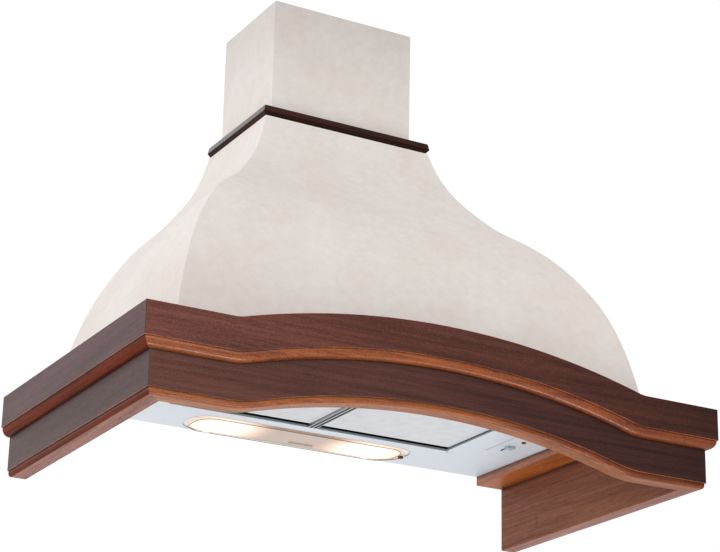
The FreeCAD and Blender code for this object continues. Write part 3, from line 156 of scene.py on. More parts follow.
# ---- Wooden frame: cornice, base boards, deck and neck trim ----------------------------------------
# Hardwood boards, moulded along their lower edges, mitred at the corners and stained nearly black
# brown under a satin lacquer. The stain is rubbed thinner on the mouldings, the undersides and
# every arris, so that the orange brown of the wood comes through there; the undersides are also
# lightened and made pinker as painted reflection of the white floor.


def dress(material, *names):
    """Gives CAD nodes their finish."""
    for name in names:
        for one in nodes[name].material_slots:
            one.material = material


def stretched(tree, coordinates, axis, along, cross, offset=0.0):
    """Object coordinates counted in cells that are along by cross millimetres, long side on axis."""
    scale = [1000 / cross] * 3
    scale["XYZ".index(axis)] = 1000 / along
    return add(tree, "Mapping", {"Vector": coordinates, "Scale": scale,
                                 "Location": (offset, offset * 2, offset * 3)}).outputs["Vector"]


def stained_hardwood(name, axis, tones, offset=0.0, gloss=(0.36, 0.50), sheen=0.2):
    """Stained hardwood under satin lacquer, with its grain along one axis.

    tones holds a dark and a light colour; four tones change from the first pair to the second
    towards +X, where the darker second pair is painted shade, falling off away from the soft box at the left.
    """
    made, tree = new_material(name)
    place = add(tree, "TexCoord")
    spot = place.outputs["Object"]
    # growth rings run as streaks 22 mm and 4.5 mm across; pores are 1.3 mm by 16 mm, drawn wider
    # than real ones so that they show; specks are stain caught in the open grain
    figure = add(tree, "TexNoise", {"Vector": stretched(tree, spot, axis, 260, 22, offset), "Scale": 1.0,
                                    "Detail": 4.0, "Roughness": 0.6, "Distortion": 0.8}).outputs["Fac"]
    rings = add(tree, "TexNoise", {"Vector": stretched(tree, spot, axis, 190, 4.5, offset), "Scale": 1.0,
                                   "Detail": 3.0, "Roughness": 0.55}).outputs["Fac"]
    pores = add(tree, "TexNoise", {"Vector": stretched(tree, spot, axis, 16, 1.3, offset), "Scale": 1.0,
                                   "Detail": 2.0}).outputs["Fac"]
    specks = add(tree, "TexNoise", {"Vector": stretched(tree, spot, axis, 2.6, 1.6), "Scale": 1.0,
                                    "Detail": 1.0}).outputs["Fac"]
    blend = add(tree, "Math", {0: figure, 1: rings}, operation="ADD").outputs[0]
    blend = add(tree, "MapRange", {"Value": blend, "From Min": 0.72, "From Max": 1.28}).outputs["Result"]
    speck = add(tree, "MapRange", {"Value": specks, "From Min": 0.35, "From Max": 0.7,
                                   "To Min": -0.22, "To Max": 0.30}).outputs["Result"]
    blend = add(tree, "Math", {0: blend, 1: speck}, operation="ADD", use_clamp=True).outputs[0]
    pairs = [add(tree, "Mix", {0: blend, 6: linear(low), 7: linear(high)}, data_type="RGBA").outputs[2]
             for low, high in zip(tones[::2], tones[1::2])]
    colour = pairs[0]
    # painted shade: with two pairs, the colour darkens towards +X, away from the soft box at the left
    if len(pairs) > 1:
        along = add(tree, "SeparateXYZ", {0: spot}).outputs["X"]
        share = add(tree, "MapRange", {"Value": along, "From Min": -0.45, "From Max": 0.42}).outputs["Result"]
        colour = add(tree, "Mix", {0: share, 6: pairs[0], 7: pairs[1]}, data_type="RGBA").outputs[2]
    open_pore = add(tree, "MapRange", {"Value": pores, "From Min": 0.58, "From Max": 0.72,
                                       "To Max": 0.5}).outputs["Result"]
    colour = add(tree, "Mix", {0: open_pore, 6: colour, 7: linear("#1f0f0d")}, data_type="RGBA").outputs[2]
    # painted shade: the colour darkens to near black within about 9 mm of corners, found by ambient occlusion
    corner = add(tree, "AmbientOcclusion", {"Distance": 0.009}, samples=8).outputs["AO"]
    painted_corner_shade = add(tree, "MapRange", {"Value": corner, "From Min": 0.95, "From Max": 0.45,
                                      "To Max": 0.8}).outputs["Result"]
    colour = add(tree, "Mix", {0: painted_corner_shade, 6: colour, 7: linear("#1c0a07")}, data_type="RGBA").outputs[2]
    gloss = add(tree, "MapRange", {"Value": pores, "To Min": gloss[0], "To Max": gloss[1]}).outputs["Result"]
    dent = add(tree, "Bump", {"Height": pores, "Strength": 0.12, "Distance": 0.0004})
    surface(tree, {"Base Color": colour, "Roughness": gloss, "Normal": dent.outputs["Normal"],
                   "Specular IOR Level": sheen, "Coat Roughness": 0.12})
    return made


FLAT, ARRIS, QUIRK, MOULDING, UNDERSIDE, INSIDE, MITRE = range(7)
ARRIS_R = 0.0007


def arc(centre, radius, start, end, steps, finish):
    """Points round part of a circle in a board's section, each with the finish that follows it."""
    turns = [math.radians(start + (end - start) * i / steps) for i in range(steps + 1)]
    return [(centre[0] + radius * math.cos(a), centre[1] + radius * math.sin(a), finish) for a in turns]


def board_section(front, back, face, full, quirk, radius):
    """A board's section, as depth behind the cornice's face and drop below the top edge."""
    shoulder = front + quirk
    return [(back, 0, FLAT),
            *arc((front + ARRIS_R, ARRIS_R), ARRIS_R, 270, 180, 3, ARRIS)[:-1], (front, ARRIS_R, FLAT),
            *arc((front + ARRIS_R, face - ARRIS_R), ARRIS_R, 180, 90, 3, ARRIS),
            (shoulder, face, QUIRK), (shoulder, full - radius, MOULDING),
            *arc((shoulder + radius, full - radius), radius, 180, 90, 12, MOULDING)[1:-1],
            (shoulder + radius, full, UNDERSIDE), (back - ARRIS_R, full, ARRIS), (back, full - ARRIS_R, INSIDE)]


HALF_WIDTH, DEPTH = 0.450, 0.510
BOARD_TOP = -0.250
CORNICE = board_section(0.0, 0.0139, 0.0467, 0.0593, 0.002, 0.0115)
BASE = board_section(0.014, 0.0435, 0.1089, 0.117, 0.002, 0.0045)
ARCH_HALF, ARCH_RISE, ARCH_EASE = 0.318, 0.044, 0.060
ARCH_R = (ARCH_HALF ** 2 + ARCH_RISE ** 2) / (2 * ARCH_RISE)
EASE_STEPS, ARCH_STEPS = 12, 40
MITRE_R = 0.0012
MITRE_TURNS = [math.radians(a) for a in (45, 30, 15, 0)]


def arched_line(depth, drop):
    """A line along the front, from mitre to mitre, over the arch, which is eased into the straights."""
    centre = ARCH_RISE - ARCH_R
    foot = math.sqrt((2 * ARCH_R + 2 * ARCH_EASE - ARCH_RISE) * ARCH_RISE)
    meet = foot * (ARCH_R - drop) / (ARCH_R + ARCH_EASE)
    side, face = HALF_WIDTH - depth - MITRE_R, depth - DEPTH + MITRE_R
    half = [(side + MITRE_R * math.sin(a), face - MITRE_R * math.cos(a), -drop) for a in MITRE_TURNS]
    flat = depth - DEPTH
    half.append(((side + foot) / 2, flat, -drop))
    for i in range(EASE_STEPS):
        x = foot + (meet - foot) * i / EASE_STEPS
        half.append((x, flat, ARCH_EASE - math.sqrt((ARCH_EASE + drop) ** 2 - (foot - x) ** 2)))
    for i in range(ARCH_STEPS + 1):
        x = meet * (1 - i / ARCH_STEPS)
        half.append((x, flat, centre + math.sqrt((ARCH_R - drop) ** 2 - x ** 2)))
    line = [(-x, y, z) for x, y, z in half] + half[-2::-1]
    return [Vector((x, y, BOARD_TOP + z)) for x, y, z in line]


def side_line(side):
    """Lines along a side board, from the mitre to the wall."""
    def line(depth, drop):
        out, face = HALF_WIDTH - depth - MITRE_R, depth - DEPTH + MITRE_R
        ends = [(out + MITRE_R * math.cos(a), face - MITRE_R * math.sin(a)) for a in MITRE_TURNS]
        ends += [(HALF_WIDTH - depth, y) for y in (-0.30, -0.15, 0)]
        return [Vector((side * x, y, BOARD_TOP - drop)) for x, y in ends]
    return line


def moulded(made, section, line, mitres):
    """Sweeps a section along its lines, each stretch with its own finish."""
    rows = [[made.verts.new(point) for point in line(depth, drop)] for depth, drop, _ in section]
    stretches = len(rows[0]) - 1
    turns = len(MITRE_TURNS) - 1
    worn = [i for i in range(stretches) if i < turns or (mitres == 2 and i >= stretches - turns)]
    for row, below, (_, _, finish) in zip(rows, rows[1:] + rows[:1], section):
        for i in range(stretches):
            face = made.faces.new((row[i], row[i + 1], below[i + 1], below[i]))
            face.material_index = MITRE if finish == FLAT and i in worn else finish
            face.smooth = True
    for i in (0, -1):
        made.faces.new([row[i] for row in rows]).material_index = INSIDE
    bmesh.ops.recalc_face_normals(made, faces=made.faces)


arris_finish = stained_hardwood("hardwood_rubbed_arris", "X", ("#5a2a18", "#b4602d"),
                                gloss=(0.28, 0.4), sheen=0.4)
mitre_finish = stained_hardwood("hardwood_stained_end_grain", "Z", ("#1e0d0b", "#3d1f1a"),
                                gloss=(0.2, 0.3), sheen=0.5)
# Front tones come as a left pair and a darker right pair; the darker pair is painted shade, falling off away from the
# soft box at the left.
FRONT_RUBBED = ("#7a3818", "#b4632d", "#5e2810", "#8c431c")
SIDE_RUBBED = ("#451507", "#742c0e")
FRONT_QUIRK = ("#84481f", "#b06c38", "#4c210f", "#743a1c")
SIDE_QUIRK = ("#3c1f1a", "#5a322a")
# underside tones: thinner stain, lightened and made pinker as painted reflection of the floor
FRONT_UNDER = ("#8e5638", "#c08862", "#703c24", "#9c5e3a")
SIDE_UNDER = ("#77493e", "#a5766a")
for name, axis, section, line, tones, quirk, rubbed, offset in (
        ("cornice_front", "X", CORNICE, arched_line, ("#562a22", "#784438", "#271009", "#4a2418"),
         FRONT_QUIRK, FRONT_RUBBED, 0.0),
        ("base_board_front", "X", BASE, arched_line, ("#4a251f", "#673c33", "#1f0c09", "#3f1f18"),
         FRONT_QUIRK, FRONT_RUBBED, 3.7),
        ("cornice_left", "Y", CORNICE, side_line(-1), ("#3f2427", "#573639"), SIDE_QUIRK, SIDE_RUBBED, 1.3),
        ("cornice_right", "Y", CORNICE, side_line(1), ("#3f2427", "#573639"), SIDE_QUIRK, SIDE_RUBBED, 9.3),
        ("base_board_left", "Y", BASE, side_line(-1), ("#38211f", "#4e3230"), SIDE_QUIRK, SIDE_RUBBED, 6.2),
        ("base_board_right", "Y", BASE, side_line(1), ("#38211f", "#4e3230"), SIDE_QUIRK, SIDE_RUBBED, 12.6)):
    board = new_piece("board_" + name, lambda made: moulded(made, section, line, 2 if axis == "X" else 1),
                      "hood", stained_hardwood("stained_hardwood_" + name, axis, tones, offset,
                                                         sheen=0.2 if axis == "X" else 0.3))
    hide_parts(name)
    for finish in (
            arris_finish,
            stained_hardwood("thin_stain_quirk_" + name, axis, quirk, offset),
            stained_hardwood("rubbed_moulding_" + name, axis, rubbed, offset,
                             gloss=(0.16, 0.24) if axis == "X" else (0.30, 0.40), sheen=0.4 if axis == "X" else 0.04),
            stained_hardwood("thin_stain_underside_" + name, axis, FRONT_UNDER if axis == "X" else SIDE_UNDER,
                             offset, sheen=0.1),
            stained_hardwood("thin_stain_inside_" + name, axis, ("#6b3e2d", "#8f5b43"), offset, sheen=0.1),
            mitre_finish):
        board.data.materials.append(finish)
    board.data.set_sharp_from_angle(angle=math.radians(35))
    board.modifiers.new("even", "WEIGHTED_NORMAL").keep_sharp = True


def ease_edges(width_mm, names):
    """Rounds the sharp edges of CAD nodes, by modifiers alone."""
    for name in names:
        node = nodes[name]
        node.modifiers.new("weld", "WELD").merge_threshold = 2e-6
        bevel = node.modifiers.new("eased", "BEVEL")
        bevel.width = width_mm / 1000
        bevel.segments = 2
        bevel.angle_limit = math.radians(38)
        bevel.use_clamp_overlap = False
        node.modifiers.new("even", "WEIGHTED_NORMAL")


def stain_of(material):
    """A stained finish's node tree, its shader, and the colour that feeds it."""
    shader = next(one for one in material.node_tree.nodes if one.type == "BSDF_PRINCIPLED")
    return material.node_tree, shader, shader.inputs["Base Color"].links[0].from_socket


# The deck's battens took the thin stain orange; their side-facing edges are tinted greyer, as
# painted reflection.
for axis, offset, names in (("X", 5.1, ("deck_front",)), ("Y", 8.4, ("deck_left", "deck_right"))):
    deck = stained_hardwood("thin_stain_" + names[0], axis, ("#7e3a16", "#b5652c"), offset)
    tree, shader, stain = stain_of(deck)
    facing = add(tree, "SeparateXYZ", {0: add(tree, "TexCoord").outputs["Normal"]}).outputs["Z"]
    facing = add(tree, "Math", {0: facing}, operation="ABSOLUTE").outputs[0]
    flat = add(tree, "MapRange", {"Value": facing, "From Min": 0.4, "From Max": 0.6}).outputs["Result"]
    edge_painted_reflection = add(tree, "VectorMath", {0: stain, 1: (1.0, 1.6, 5.0)}, operation="MULTIPLY").outputs["Vector"]
    colour = add(tree, "Mix", {0: flat, 6: edge_painted_reflection, 7: stain}, data_type="RGBA").outputs[2]
    tree.links.new(colour, shader.inputs["Base Color"])
    dress(deck, *names)
ease_edges(0.8, ["deck_front", "deck_left", "deck_right"])

# Painted shade: the trim is darkened to near black along its crest and its upper and lower edges.
# Its upper face keeps the full gloss of the lacquer, and its lower face was rubbed down.
TRIM_LOW, TRIM_HIGH = (corner.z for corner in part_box("trim_front"))
TRIM_CREST = TRIM_LOW + 0.0065
for axis, offset, tones, upper_coat, names in (
        ("X", 4.4, ("#26110c", "#4b261b"), 0.1, ("trim_front",)),
        ("Y", 2.2, ("#27110e", "#45261f"), 1.0, ("trim_left", "trim_right"))):
    trim = stained_hardwood("stained_hardwood_" + names[0], axis, tones, offset, sheen=0.1)
    tree, shader, stain = stain_of(trim)
    place = add(tree, "TexCoord")
    height = add(tree, "SeparateXYZ", {0: place.outputs["Object"]}).outputs["Z"]
    gap = None
    for line, reach in ((TRIM_LOW, 0.0022), (TRIM_CREST, 0.0008), (TRIM_HIGH, 0.0018)):
        offset_z = add(tree, "Math", {0: height, 1: line}, operation="SUBTRACT").outputs[0]
        offset_z = add(tree, "Math", {0: offset_z}, operation="ABSOLUTE").outputs[0]
        share = add(tree, "Math", {0: offset_z, 1: reach}, operation="DIVIDE").outputs[0]
        gap = share if gap is None else add(tree, "Math", {0: gap, 1: share}, operation="MINIMUM").outputs[0]
    # painted shade: near black close to the crest and to the upper and lower edges
    dark = add(tree, "MapRange", {"Value": gap, "From Min": 1.3, "From Max": 0.6}).outputs["Result"]
    colour = add(tree, "Mix", {0: dark, 6: stain, 7: linear("#080303")}, data_type="RGBA").outputs[2]
    tree.links.new(colour, shader.inputs["Base Color"])
    above = add(tree, "MapRange", {"Value": height, "From Min": TRIM_CREST - 0.0002,
                                   "From Max": TRIM_CREST + 0.0008, "To Max": upper_coat}).outputs["Result"]
    clear = add(tree, "Math", {0: 1.0, 1: dark}, operation="SUBTRACT").outputs[0]
    tree.links.new(add(tree, "Math", {0: above, 1: clear}, operation="MULTIPLY").outputs[0],
                   shader.inputs["Coat Weight"])
    dress(trim, *names)
ease_edges(1.2, ["trim_front", "trim_left", "trim_right"])

# A short wavy crack with a pin knot at its foot, in the inner face of the right-hand base board:
# places along it as y and z in metres, and its width there in millimetres. It is drawn wider than
# real by CRACK_SHOWN, so that it shows.
BASE_THICK = 0.0295
crack_stain = stained_hardwood("stain_in_crack", "Z", ("#2c110a", "#4c2416"), 4.0)
CRACK = ((-0.0996, -0.3260, 0.3), (-0.1000, -0.3290, 0.5), (-0.1006, -0.3318, 0.3), (-0.1012, -0.3345, 0.4),
         (-0.1010, -0.3372, 0.7), (-0.1022, -0.3398, 0.4), (-0.1016, -0.3424, 0.8), (-0.1004, -0.3448, 0.9),
         (-0.1010, -0.3470, 0.5), (-0.1024, -0.3486, 0.5), (-0.1030, -0.3500, 1.3), (-0.1029, -0.3512, 0.4))
CRACK_SHOWN = 5 / 3


def crack(made, inner_x):
    """A ribbon that widens and narrows, a hair's breadth proud of the board's inner face."""
    rows = [[made.verts.new((inner_x - proud, y + side * wide * CRACK_SHOWN / 2000, z))
             for side, proud in ((-1, 0.00004), (0, 0.00016), (1, 0.00004))] for y, z, wide in CRACK]
    for row, below in zip(rows, rows[1:]):
        made.faces.new((row[0], row[1], below[1], below[0]))
        made.faces.new((row[1], row[2], below[2], below[1]))


new_piece("board_crack", lambda made: crack(made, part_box("base_board_right")[1].x - BASE_THICK), "hood",
          crack_stain)

# ---- Body and chimney ------------------------------------------------------------------------------
# Bent plywood panels and a square box chimney, both sprayed off-white and then wiped with a thin
# beige glaze by hand, which leaves soft clouds and faint slanting strokes. Dead matt.
CREAM, GLAZED, CLOUD = "#e4ddd7", "#dbcfc6", "#dfd9d4"

cream, tree = new_material("glazed_off_white_paint")
spot = add(tree, "TexCoord").outputs["Object"]
clouds = add(tree, "TexNoise", {"Vector": spot, "Scale": 9.0, "Detail": 4.0, "Roughness": 0.55}).outputs["Fac"]
clouds = add(tree, "MapRange", {"Value": clouds, "From Min": 0.35, "From Max": 0.65}).outputs["Result"]
slant = add(tree, "Mapping", {"Vector": spot, "Rotation": (0.0, math.radians(35), 0.0)}).outputs["Vector"]
strokes = add(tree, "TexNoise", {"Vector": stretched(tree, slant, "X", 34, 5.0), "Scale": 1.0,
                                 "Detail": 3.0}).outputs["Fac"]
strokes = add(tree, "MapRange", {"Value": strokes, "From Min": 0.35, "From Max": 0.65}).outputs["Result"]
grain = add(tree, "TexNoise", {"Vector": spot, "Scale": 420.0, "Detail": 2.0}).outputs["Fac"]
dabs = add(tree, "TexNoise", {"Vector": spot, "Scale": 70.0, "Detail": 3.0, "Roughness": 0.65}).outputs["Fac"]
warm = add(tree, "Mix", {0: clouds, 6: linear(GLAZED), 7: linear(CREAM)}, data_type="RGBA").outputs[2]
cool = add(tree, "Mix", {0: strokes, 6: linear(CREAM), 7: linear(CLOUD)}, data_type="RGBA").outputs[2]
colour = add(tree, "Mix", {0: 0.45, 6: warm, 7: cool}, data_type="RGBA").outputs[2]
# painted shade: the colour darkens toward the top of the chimney
height = add(tree, "SeparateXYZ", {0: spot}).outputs["Z"]
thick = add(tree, "MapRange", {"Value": height, "From Min": 0.24, "From Max": 0.40,
                               "To Min": 1.0, "To Max": 0.81}).outputs["Result"]
dabbed = add(tree, "MapRange", {"Value": dabs, "From Min": 0.3, "From Max": 0.7,
                                "To Min": 0.965, "To Max": 1.035}).outputs["Result"]
shade = add(tree, "Math", {0: thick, 1: dabbed}, operation="MULTIPLY").outputs[0]
colour = add(tree, "VectorMath", {0: colour, "Scale": shade}, operation="SCALE").outputs["Vector"]
relief = add(tree, "Math", {0: strokes, 1: grain}, operation="ADD").outputs[0]
dent = add(tree, "Bump", {"Height": relief, "Strength": 0.10, "Distance": 0.0004})
surface(tree, {"Base Color": colour, "Roughness": 0.72, "Specular IOR Level": 0.25,
               "Normal": dent.outputs["Normal"]})
dress(cream, "body_front", "body_left", "body_right", "chimney_front", "chimney_left", "chimney_right")
ease_edges(1.0, ["chimney_front", "chimney_left", "chimney_right"])

# ---- Carcass ---------------------------------------------------------------------------------------
# Birch plywood ribs, rail, neck board, battens and splines, glued inside the panels and left bare.
# Each veneer is about 1.4 mm, so cut edges show light and brown stripes; faces show a mild figure.


def birch_plywood(name, layers):
    """Bare plywood: stripes along one axis on the cut edges, a soft figure on the faces."""
    made, tree = new_material(name)
    place = add(tree, "TexCoord")
    spot = place.outputs["Object"]
    figure = add(tree, "TexNoise", {"Vector": stretched(tree, spot, "Z", 160, 14), "Scale": 1.0, "Detail": 4.0,
                                    "Distortion": 1.2}).outputs["Fac"]
    face = add(tree, "Mix", {0: figure, 6: linear("#c9a878"), 7: linear("#dcc197")}, data_type="RGBA").outputs[2]
    depth = add(tree, "SeparateXYZ", {0: spot}).outputs[layers]
    ply = add(tree, "Math", {0: depth, 1: 2 * math.pi / 0.0028}, operation="MULTIPLY").outputs[0]
    ply = add(tree, "Math", {0: ply}, operation="SINE").outputs[0]
    ply = add(tree, "MapRange", {"Value": ply, "From Min": -0.3, "From Max": 0.3}).outputs["Result"]
    edge = add(tree, "Mix", {0: ply, 6: linear("#a5793f"), 7: linear("#d9bd90")}, data_type="RGBA").outputs[2]
    facing = add(tree, "SeparateXYZ", {0: place.outputs["Normal"]}).outputs[layers]
    facing = add(tree, "Math", {0: facing}, operation="ABSOLUTE").outputs[0]
    on_face = add(tree, "MapRange", {"Value": facing, "From Min": 0.7, "From Max": 0.9}).outputs["Result"]
    colour = add(tree, "Mix", {0: on_face, 6: edge, 7: face}, data_type="RGBA").outputs[2]
    dent = add(tree, "Bump", {"Height": figure, "Strength": 0.15, "Distance": 0.0005})
    surface(tree, {"Base Color": colour, "Roughness": 0.68, "Specular IOR Level": 0.3,
                   "Normal": dent.outputs["Normal"]})
    return made


dress(birch_plywood("birch_plywood_upright", "Y"), "wall_rib_left", "wall_rib_right", "hanging_rail",
      "hip_rib_left", "hip_rib_right")
dress(birch_plywood("birch_plywood_level", "Z"), "neck_board", "chimney_battens", "mitre_splines")

# ---- Extractor insert: plate, control strip and their small fixings ---------------------------------
# Folded 1.2 mm steel sheet with a baked powder coat, pale blue grey, semi-gloss, with the faint
# orange peel that powder has. The folded lips of the opening are painted a darker grey, as painted
# shade inside the opening, and toward +X the plate darkens as painted shade.
ENAMEL, ENAMEL_MOTTLE_AND_PAINTED_SHADE = "#e6edf6", "#ced6e0"
LIP_PAINTED_SHADE, LIP_PAINTED_SHADE_DARK = "#9aa4ae", "#848f9a"

enamel, tree = new_material("powder_coated_steel")
place = add(tree, "TexCoord")
spot = place.outputs["Object"]
tint = add(tree, "TexNoise", {"Vector": spot, "Scale": 7.0, "Detail": 2.0}).outputs["Fac"]
# painted shade: toward +X the enamel turns to its darker tone
along = add(tree, "SeparateXYZ", {0: spot}).outputs["X"]
along = add(tree, "MapRange", {"Value": along, "From Min": 0.36, "From Max": -0.30}).outputs["Result"]
tint = add(tree, "Math", {0: tint, 1: along}, operation="MULTIPLY", use_clamp=True).outputs[0]
peel = add(tree, "TexNoise", {"Vector": spot, "Scale": 650.0, "Detail": 1.0}).outputs["Fac"]
full = add(tree, "Mix", {0: tint, 6: linear(ENAMEL_MOTTLE_AND_PAINTED_SHADE), 7: linear(ENAMEL)}, data_type="RGBA").outputs[2]
thin = add(tree, "Mix", {0: tint, 6: linear(LIP_PAINTED_SHADE_DARK), 7: linear(LIP_PAINTED_SHADE)}, data_type="RGBA").outputs[2]
facing = add(tree, "SeparateXYZ", {0: place.outputs["Normal"]}).outputs["Z"]
facing = add(tree, "Math", {0: facing}, operation="ABSOLUTE").outputs[0]
# painted shade: faces that face sideways, the lips, take the darker lip tones
coated = add(tree, "MapRange", {"Value": facing, "From Min": 0.3, "From Max": 0.6}).outputs["Result"]
colour = add(tree, "Mix", {0: coated, 6: thin, 7: full}, data_type="RGBA").outputs[2]
dent = add(tree, "Bump", {"Height": peel, "Strength": 0.05, "Distance": 0.0002})
surface(tree, {"Base Color": colour, "Roughness": 0.38, "Normal": dent.outputs["Normal"]})
dress(enamel, "insert_plate", "control_strip")
PLATE_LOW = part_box("insert_plate")[0].z


def button(made, x, y, radius, proud, sides=16):
    """A low domed head, set 0.2 mm into the underside of the plate."""
    turns = [2 * math.pi * i / sides for i in range(sides)]
    rings = [[made.verts.new((x + radius * share * math.cos(a), y + radius * share * math.sin(a),
                              PLATE_LOW + 0.0002 - proud * drop)) for a in turns]
             for share, drop in ((1.0, 0.0), (1.0, 0.45), (0.82, 0.8), (0.5, 1.0))]
    for ring, lower in zip(rings, rings[1:]):
        for i in range(sides):
            made.faces.new((ring[i], lower[i], lower[(i + 1) % sides], ring[(i + 1) % sides]))
    made.faces.new(rings[-1][::-1])
    made.faces.new(rings[0])


def mottled(name, scale, tones, shader, detail=2.0):
    """A finish whose colour wanders between two tones. scale is mottles per metre."""
    made, tree = new_material(name)
    spot = add(tree, "TexCoord").outputs["Object"]
    mottle = add(tree, "TexNoise", {"Vector": spot, "Scale": scale, "Detail": detail}).outputs["Fac"]
    colour = add(tree, "Mix", {0: mottle, 6: linear(tones[0]), 7: linear(tones[1])}, data_type="RGBA").outputs[2]
    surface(tree, {"Base Color": colour, **shader})
    return made


# blackened steel rivets at both ends of the lamp, one at the plate's edge, and a brass one at the
# opening's corner, each as its place on the plate and its radius
DARK_RIVETS = ((-0.1633, -0.0018, 0.0009), (-0.1590, -0.0018, 0.0009), (0.1683, -0.0018, 0.0009),
               (0.1726, -0.0018, 0.0009), (-0.3360, -0.2380, 0.0012))
BRASS_RIVET = (0.2395, -0.1050, 0.0017)
blackened = mottled("steel_blackened_rivet", 900.0, ("#151517", "#38383c"), {"Metallic": 0.6, "Roughness": 0.4})
for number, place in enumerate(DARK_RIVETS):
    new_piece(f"plate_rivet_{number + 1}", lambda made: button(made, *place, proud=0.0006), "hood",
              blackened)
brass = mottled("brass_lacquered", 800.0, ("#b98a3c", "#e0c27a"), {"Metallic": 1.0, "Roughness": 0.3})
new_piece("opening_rivet", lambda made: button(made, *BRASS_RIVET, proud=0.0012),
          "hood", brass)

# ---- Zinc-coated parts: casing, brackets, scroll, collar and flaps ---------------------------------
# Hot-dip galvanised sheet, never painted because it is hidden. Zinc crystals, 8 mm across, each
# throw the light back a little differently.
galvanised, tree = new_material("galvanised_steel")
spot = add(tree, "TexCoord").outputs["Object"]
crystals = add(tree, "TexVoronoi", {"Vector": spot, "Scale": 125.0})
shade = add(tree, "SeparateXYZ", {0: crystals.outputs["Color"]}).outputs["X"]
colour = add(tree, "Mix", {0: shade, 6: linear("#a9adb0"), 7: linear("#c3c6c8")}, data_type="RGBA").outputs[2]
gloss = add(tree, "MapRange", {"Value": shade, "To Min": 0.32, "To Max": 0.52}).outputs["Result"]
surface(tree, {"Base Color": colour, "Metallic": 1.0, "Roughness": gloss})
dress(galvanised, "insert_casing", "insert_brackets", "scroll_housing", "motor_bracket",
      "duct_collar", "damper_flap_front", "damper_flap_rear", "chimney_wall_bracket")

# ---- Grease filters and the strip between them -------------------------------------------------------
# A folded aluminium frame holds layers of expanded aluminium. The outer layer shows as fine slanting
# strands, made as real strands 2.4 mm apart over the inner layers, inside a folded rim painted white
# as a highlight. The strip between the filters is an anodised extrusion with two grooves, and black
# strips on the lips are painted shade, standing in for the shadowed gaps beside the filters.
STRAND_PITCH = 0.0024
STRAND_WIDE = 0.0010
STRAND_THICK = 0.00035
STRAND_LEAN = math.tan(math.radians(32))
GAUZE_THICK = 0.0001
RIM_WIDE, RIM_LAP = 0.0026, 0.7
FACE_THICK = 0.0009
REAR_GAP = 0.0075  # the face stops short of the frame's rear edge, to clear the lip as the filter swings
OPENING_HALF = 0.236
REAR_SHADOW_STRIP_THICK, REAR_SHADOW_STRIP_HEIGHTS = 0.0002, (0.0034, 0.0078)  # heights are above the plate's underside
OUTER_SHADOW_STRIP_THICK, OUTER_SHADOW_STRIP_HEIGHTS = 0.0008, (0.0030, 0.0058)

satin, tree = new_material("aluminium_satin_rolled")
spot = add(tree, "TexCoord").outputs["Object"]
lines = add(tree, "TexNoise", {"Vector": stretched(tree, spot, "X", 60, 0.5), "Scale": 1.0,
                               "Detail": 2.0}).outputs["Fac"]
gloss = add(tree, "MapRange", {"Value": lines, "To Min": 0.26, "To Max": 0.42}).outputs["Result"]
colour = add(tree, "Mix", {0: lines, 6: linear("#d3d6d8"), 7: linear("#e6e8e9")}, data_type="RGBA").outputs[2]
surface(tree, {"Base Color": colour, "Metallic": 1.0, "Roughness": gloss})
dress(satin, "filter_frame_left", "filter_frame_right")

# painted highlight: the rim is near pure white and not metallic, standing in for its bright reflection
rim_painted_highlight = mottled("aluminium_rim_painted_white_highlight", 90.0, ("#f8f9fa", "#ffffff"), {"Metallic": 0.0, "Roughness": 0.25})

layers, tree = new_material("aluminium_expanded_inner_layers")
spot = add(tree, "TexCoord").outputs["Object"]
cells = add(tree, "TexVoronoi", {"Vector": stretched(tree, spot, "X", 4.0, 2.2), "Scale": 1.0},
            feature="DISTANCE_TO_EDGE").outputs["Distance"]
strand = add(tree, "MapRange", {"Value": cells, "From Min": 0.05, "From Max": 0.25,
                                "To Min": 1.0, "To Max": 0.0}).outputs["Result"]
colour = add(tree, "Mix", {0: strand, 6: linear("#c4c9ce"), 7: linear("#e6e9ed")}, data_type="RGBA").outputs[2]
dent = add(tree, "Bump", {"Height": strand, "Strength": 0.5, "Distance": 0.0006})
surface(tree, {"Base Color": colour, "Metallic": 0.3, "Roughness": 0.5, "Normal": dent.outputs["Normal"]})
dress(layers, "filter_mesh_left", "filter_mesh_right")

strand_metal = mottled("aluminium_expanded_strands", 60.0, ("#e0e3e8", "#f8f9fc"),
                       {"Metallic": 0.3, "Roughness": 0.42}, detail=3.0)


def prism(made, outline, low_z, high_z):
    """A solid with a four-cornered outline."""
    corners = [made.verts.new((x, y, z)) for z in (low_z, high_z) for x, y in outline]
    for face in ((3, 2, 1, 0), (4, 5, 6, 7), (0, 1, 5, 4), (1, 2, 6, 5), (2, 3, 7, 6), (3, 0, 4, 7)):
        made.faces.new([corners[k] for k in face])


def block(made, low, high):
    """A box between two corners."""
    prism(made, ((low.x, low.y), (high.x, low.y), (high.x, high.y), (low.x, high.y)), low.z, high.z)


def strands(made, low, high, lean):
    """Flat strands that slant across a rectangle, each cut off square at its edges."""
    slope = STRAND_LEAN * lean
    half = STRAND_WIDE / 2 / math.cos(math.atan(STRAND_LEAN))
    middle_x = (low.x + high.x) / 2
    rise = STRAND_LEAN * (high.x - low.x)
    for i in range(int((high.y - low.y + rise) / STRAND_PITCH)):
        middle = low.y - rise / 2 + (i + 0.5) * STRAND_PITCH
        crossings = sorted(middle_x + (edge - middle) / slope for edge in (low.y + half, high.y - half))
        start, stop = max(low.x, crossings[0]), min(high.x, crossings[1])
        if stop - start > STRAND_PITCH:
            prism(made, [(x, middle + slope * (x - middle_x) + side * half)
                         for x, side in ((start, -1), (stop, -1), (stop, 1), (start, 1))], low.z, high.z)


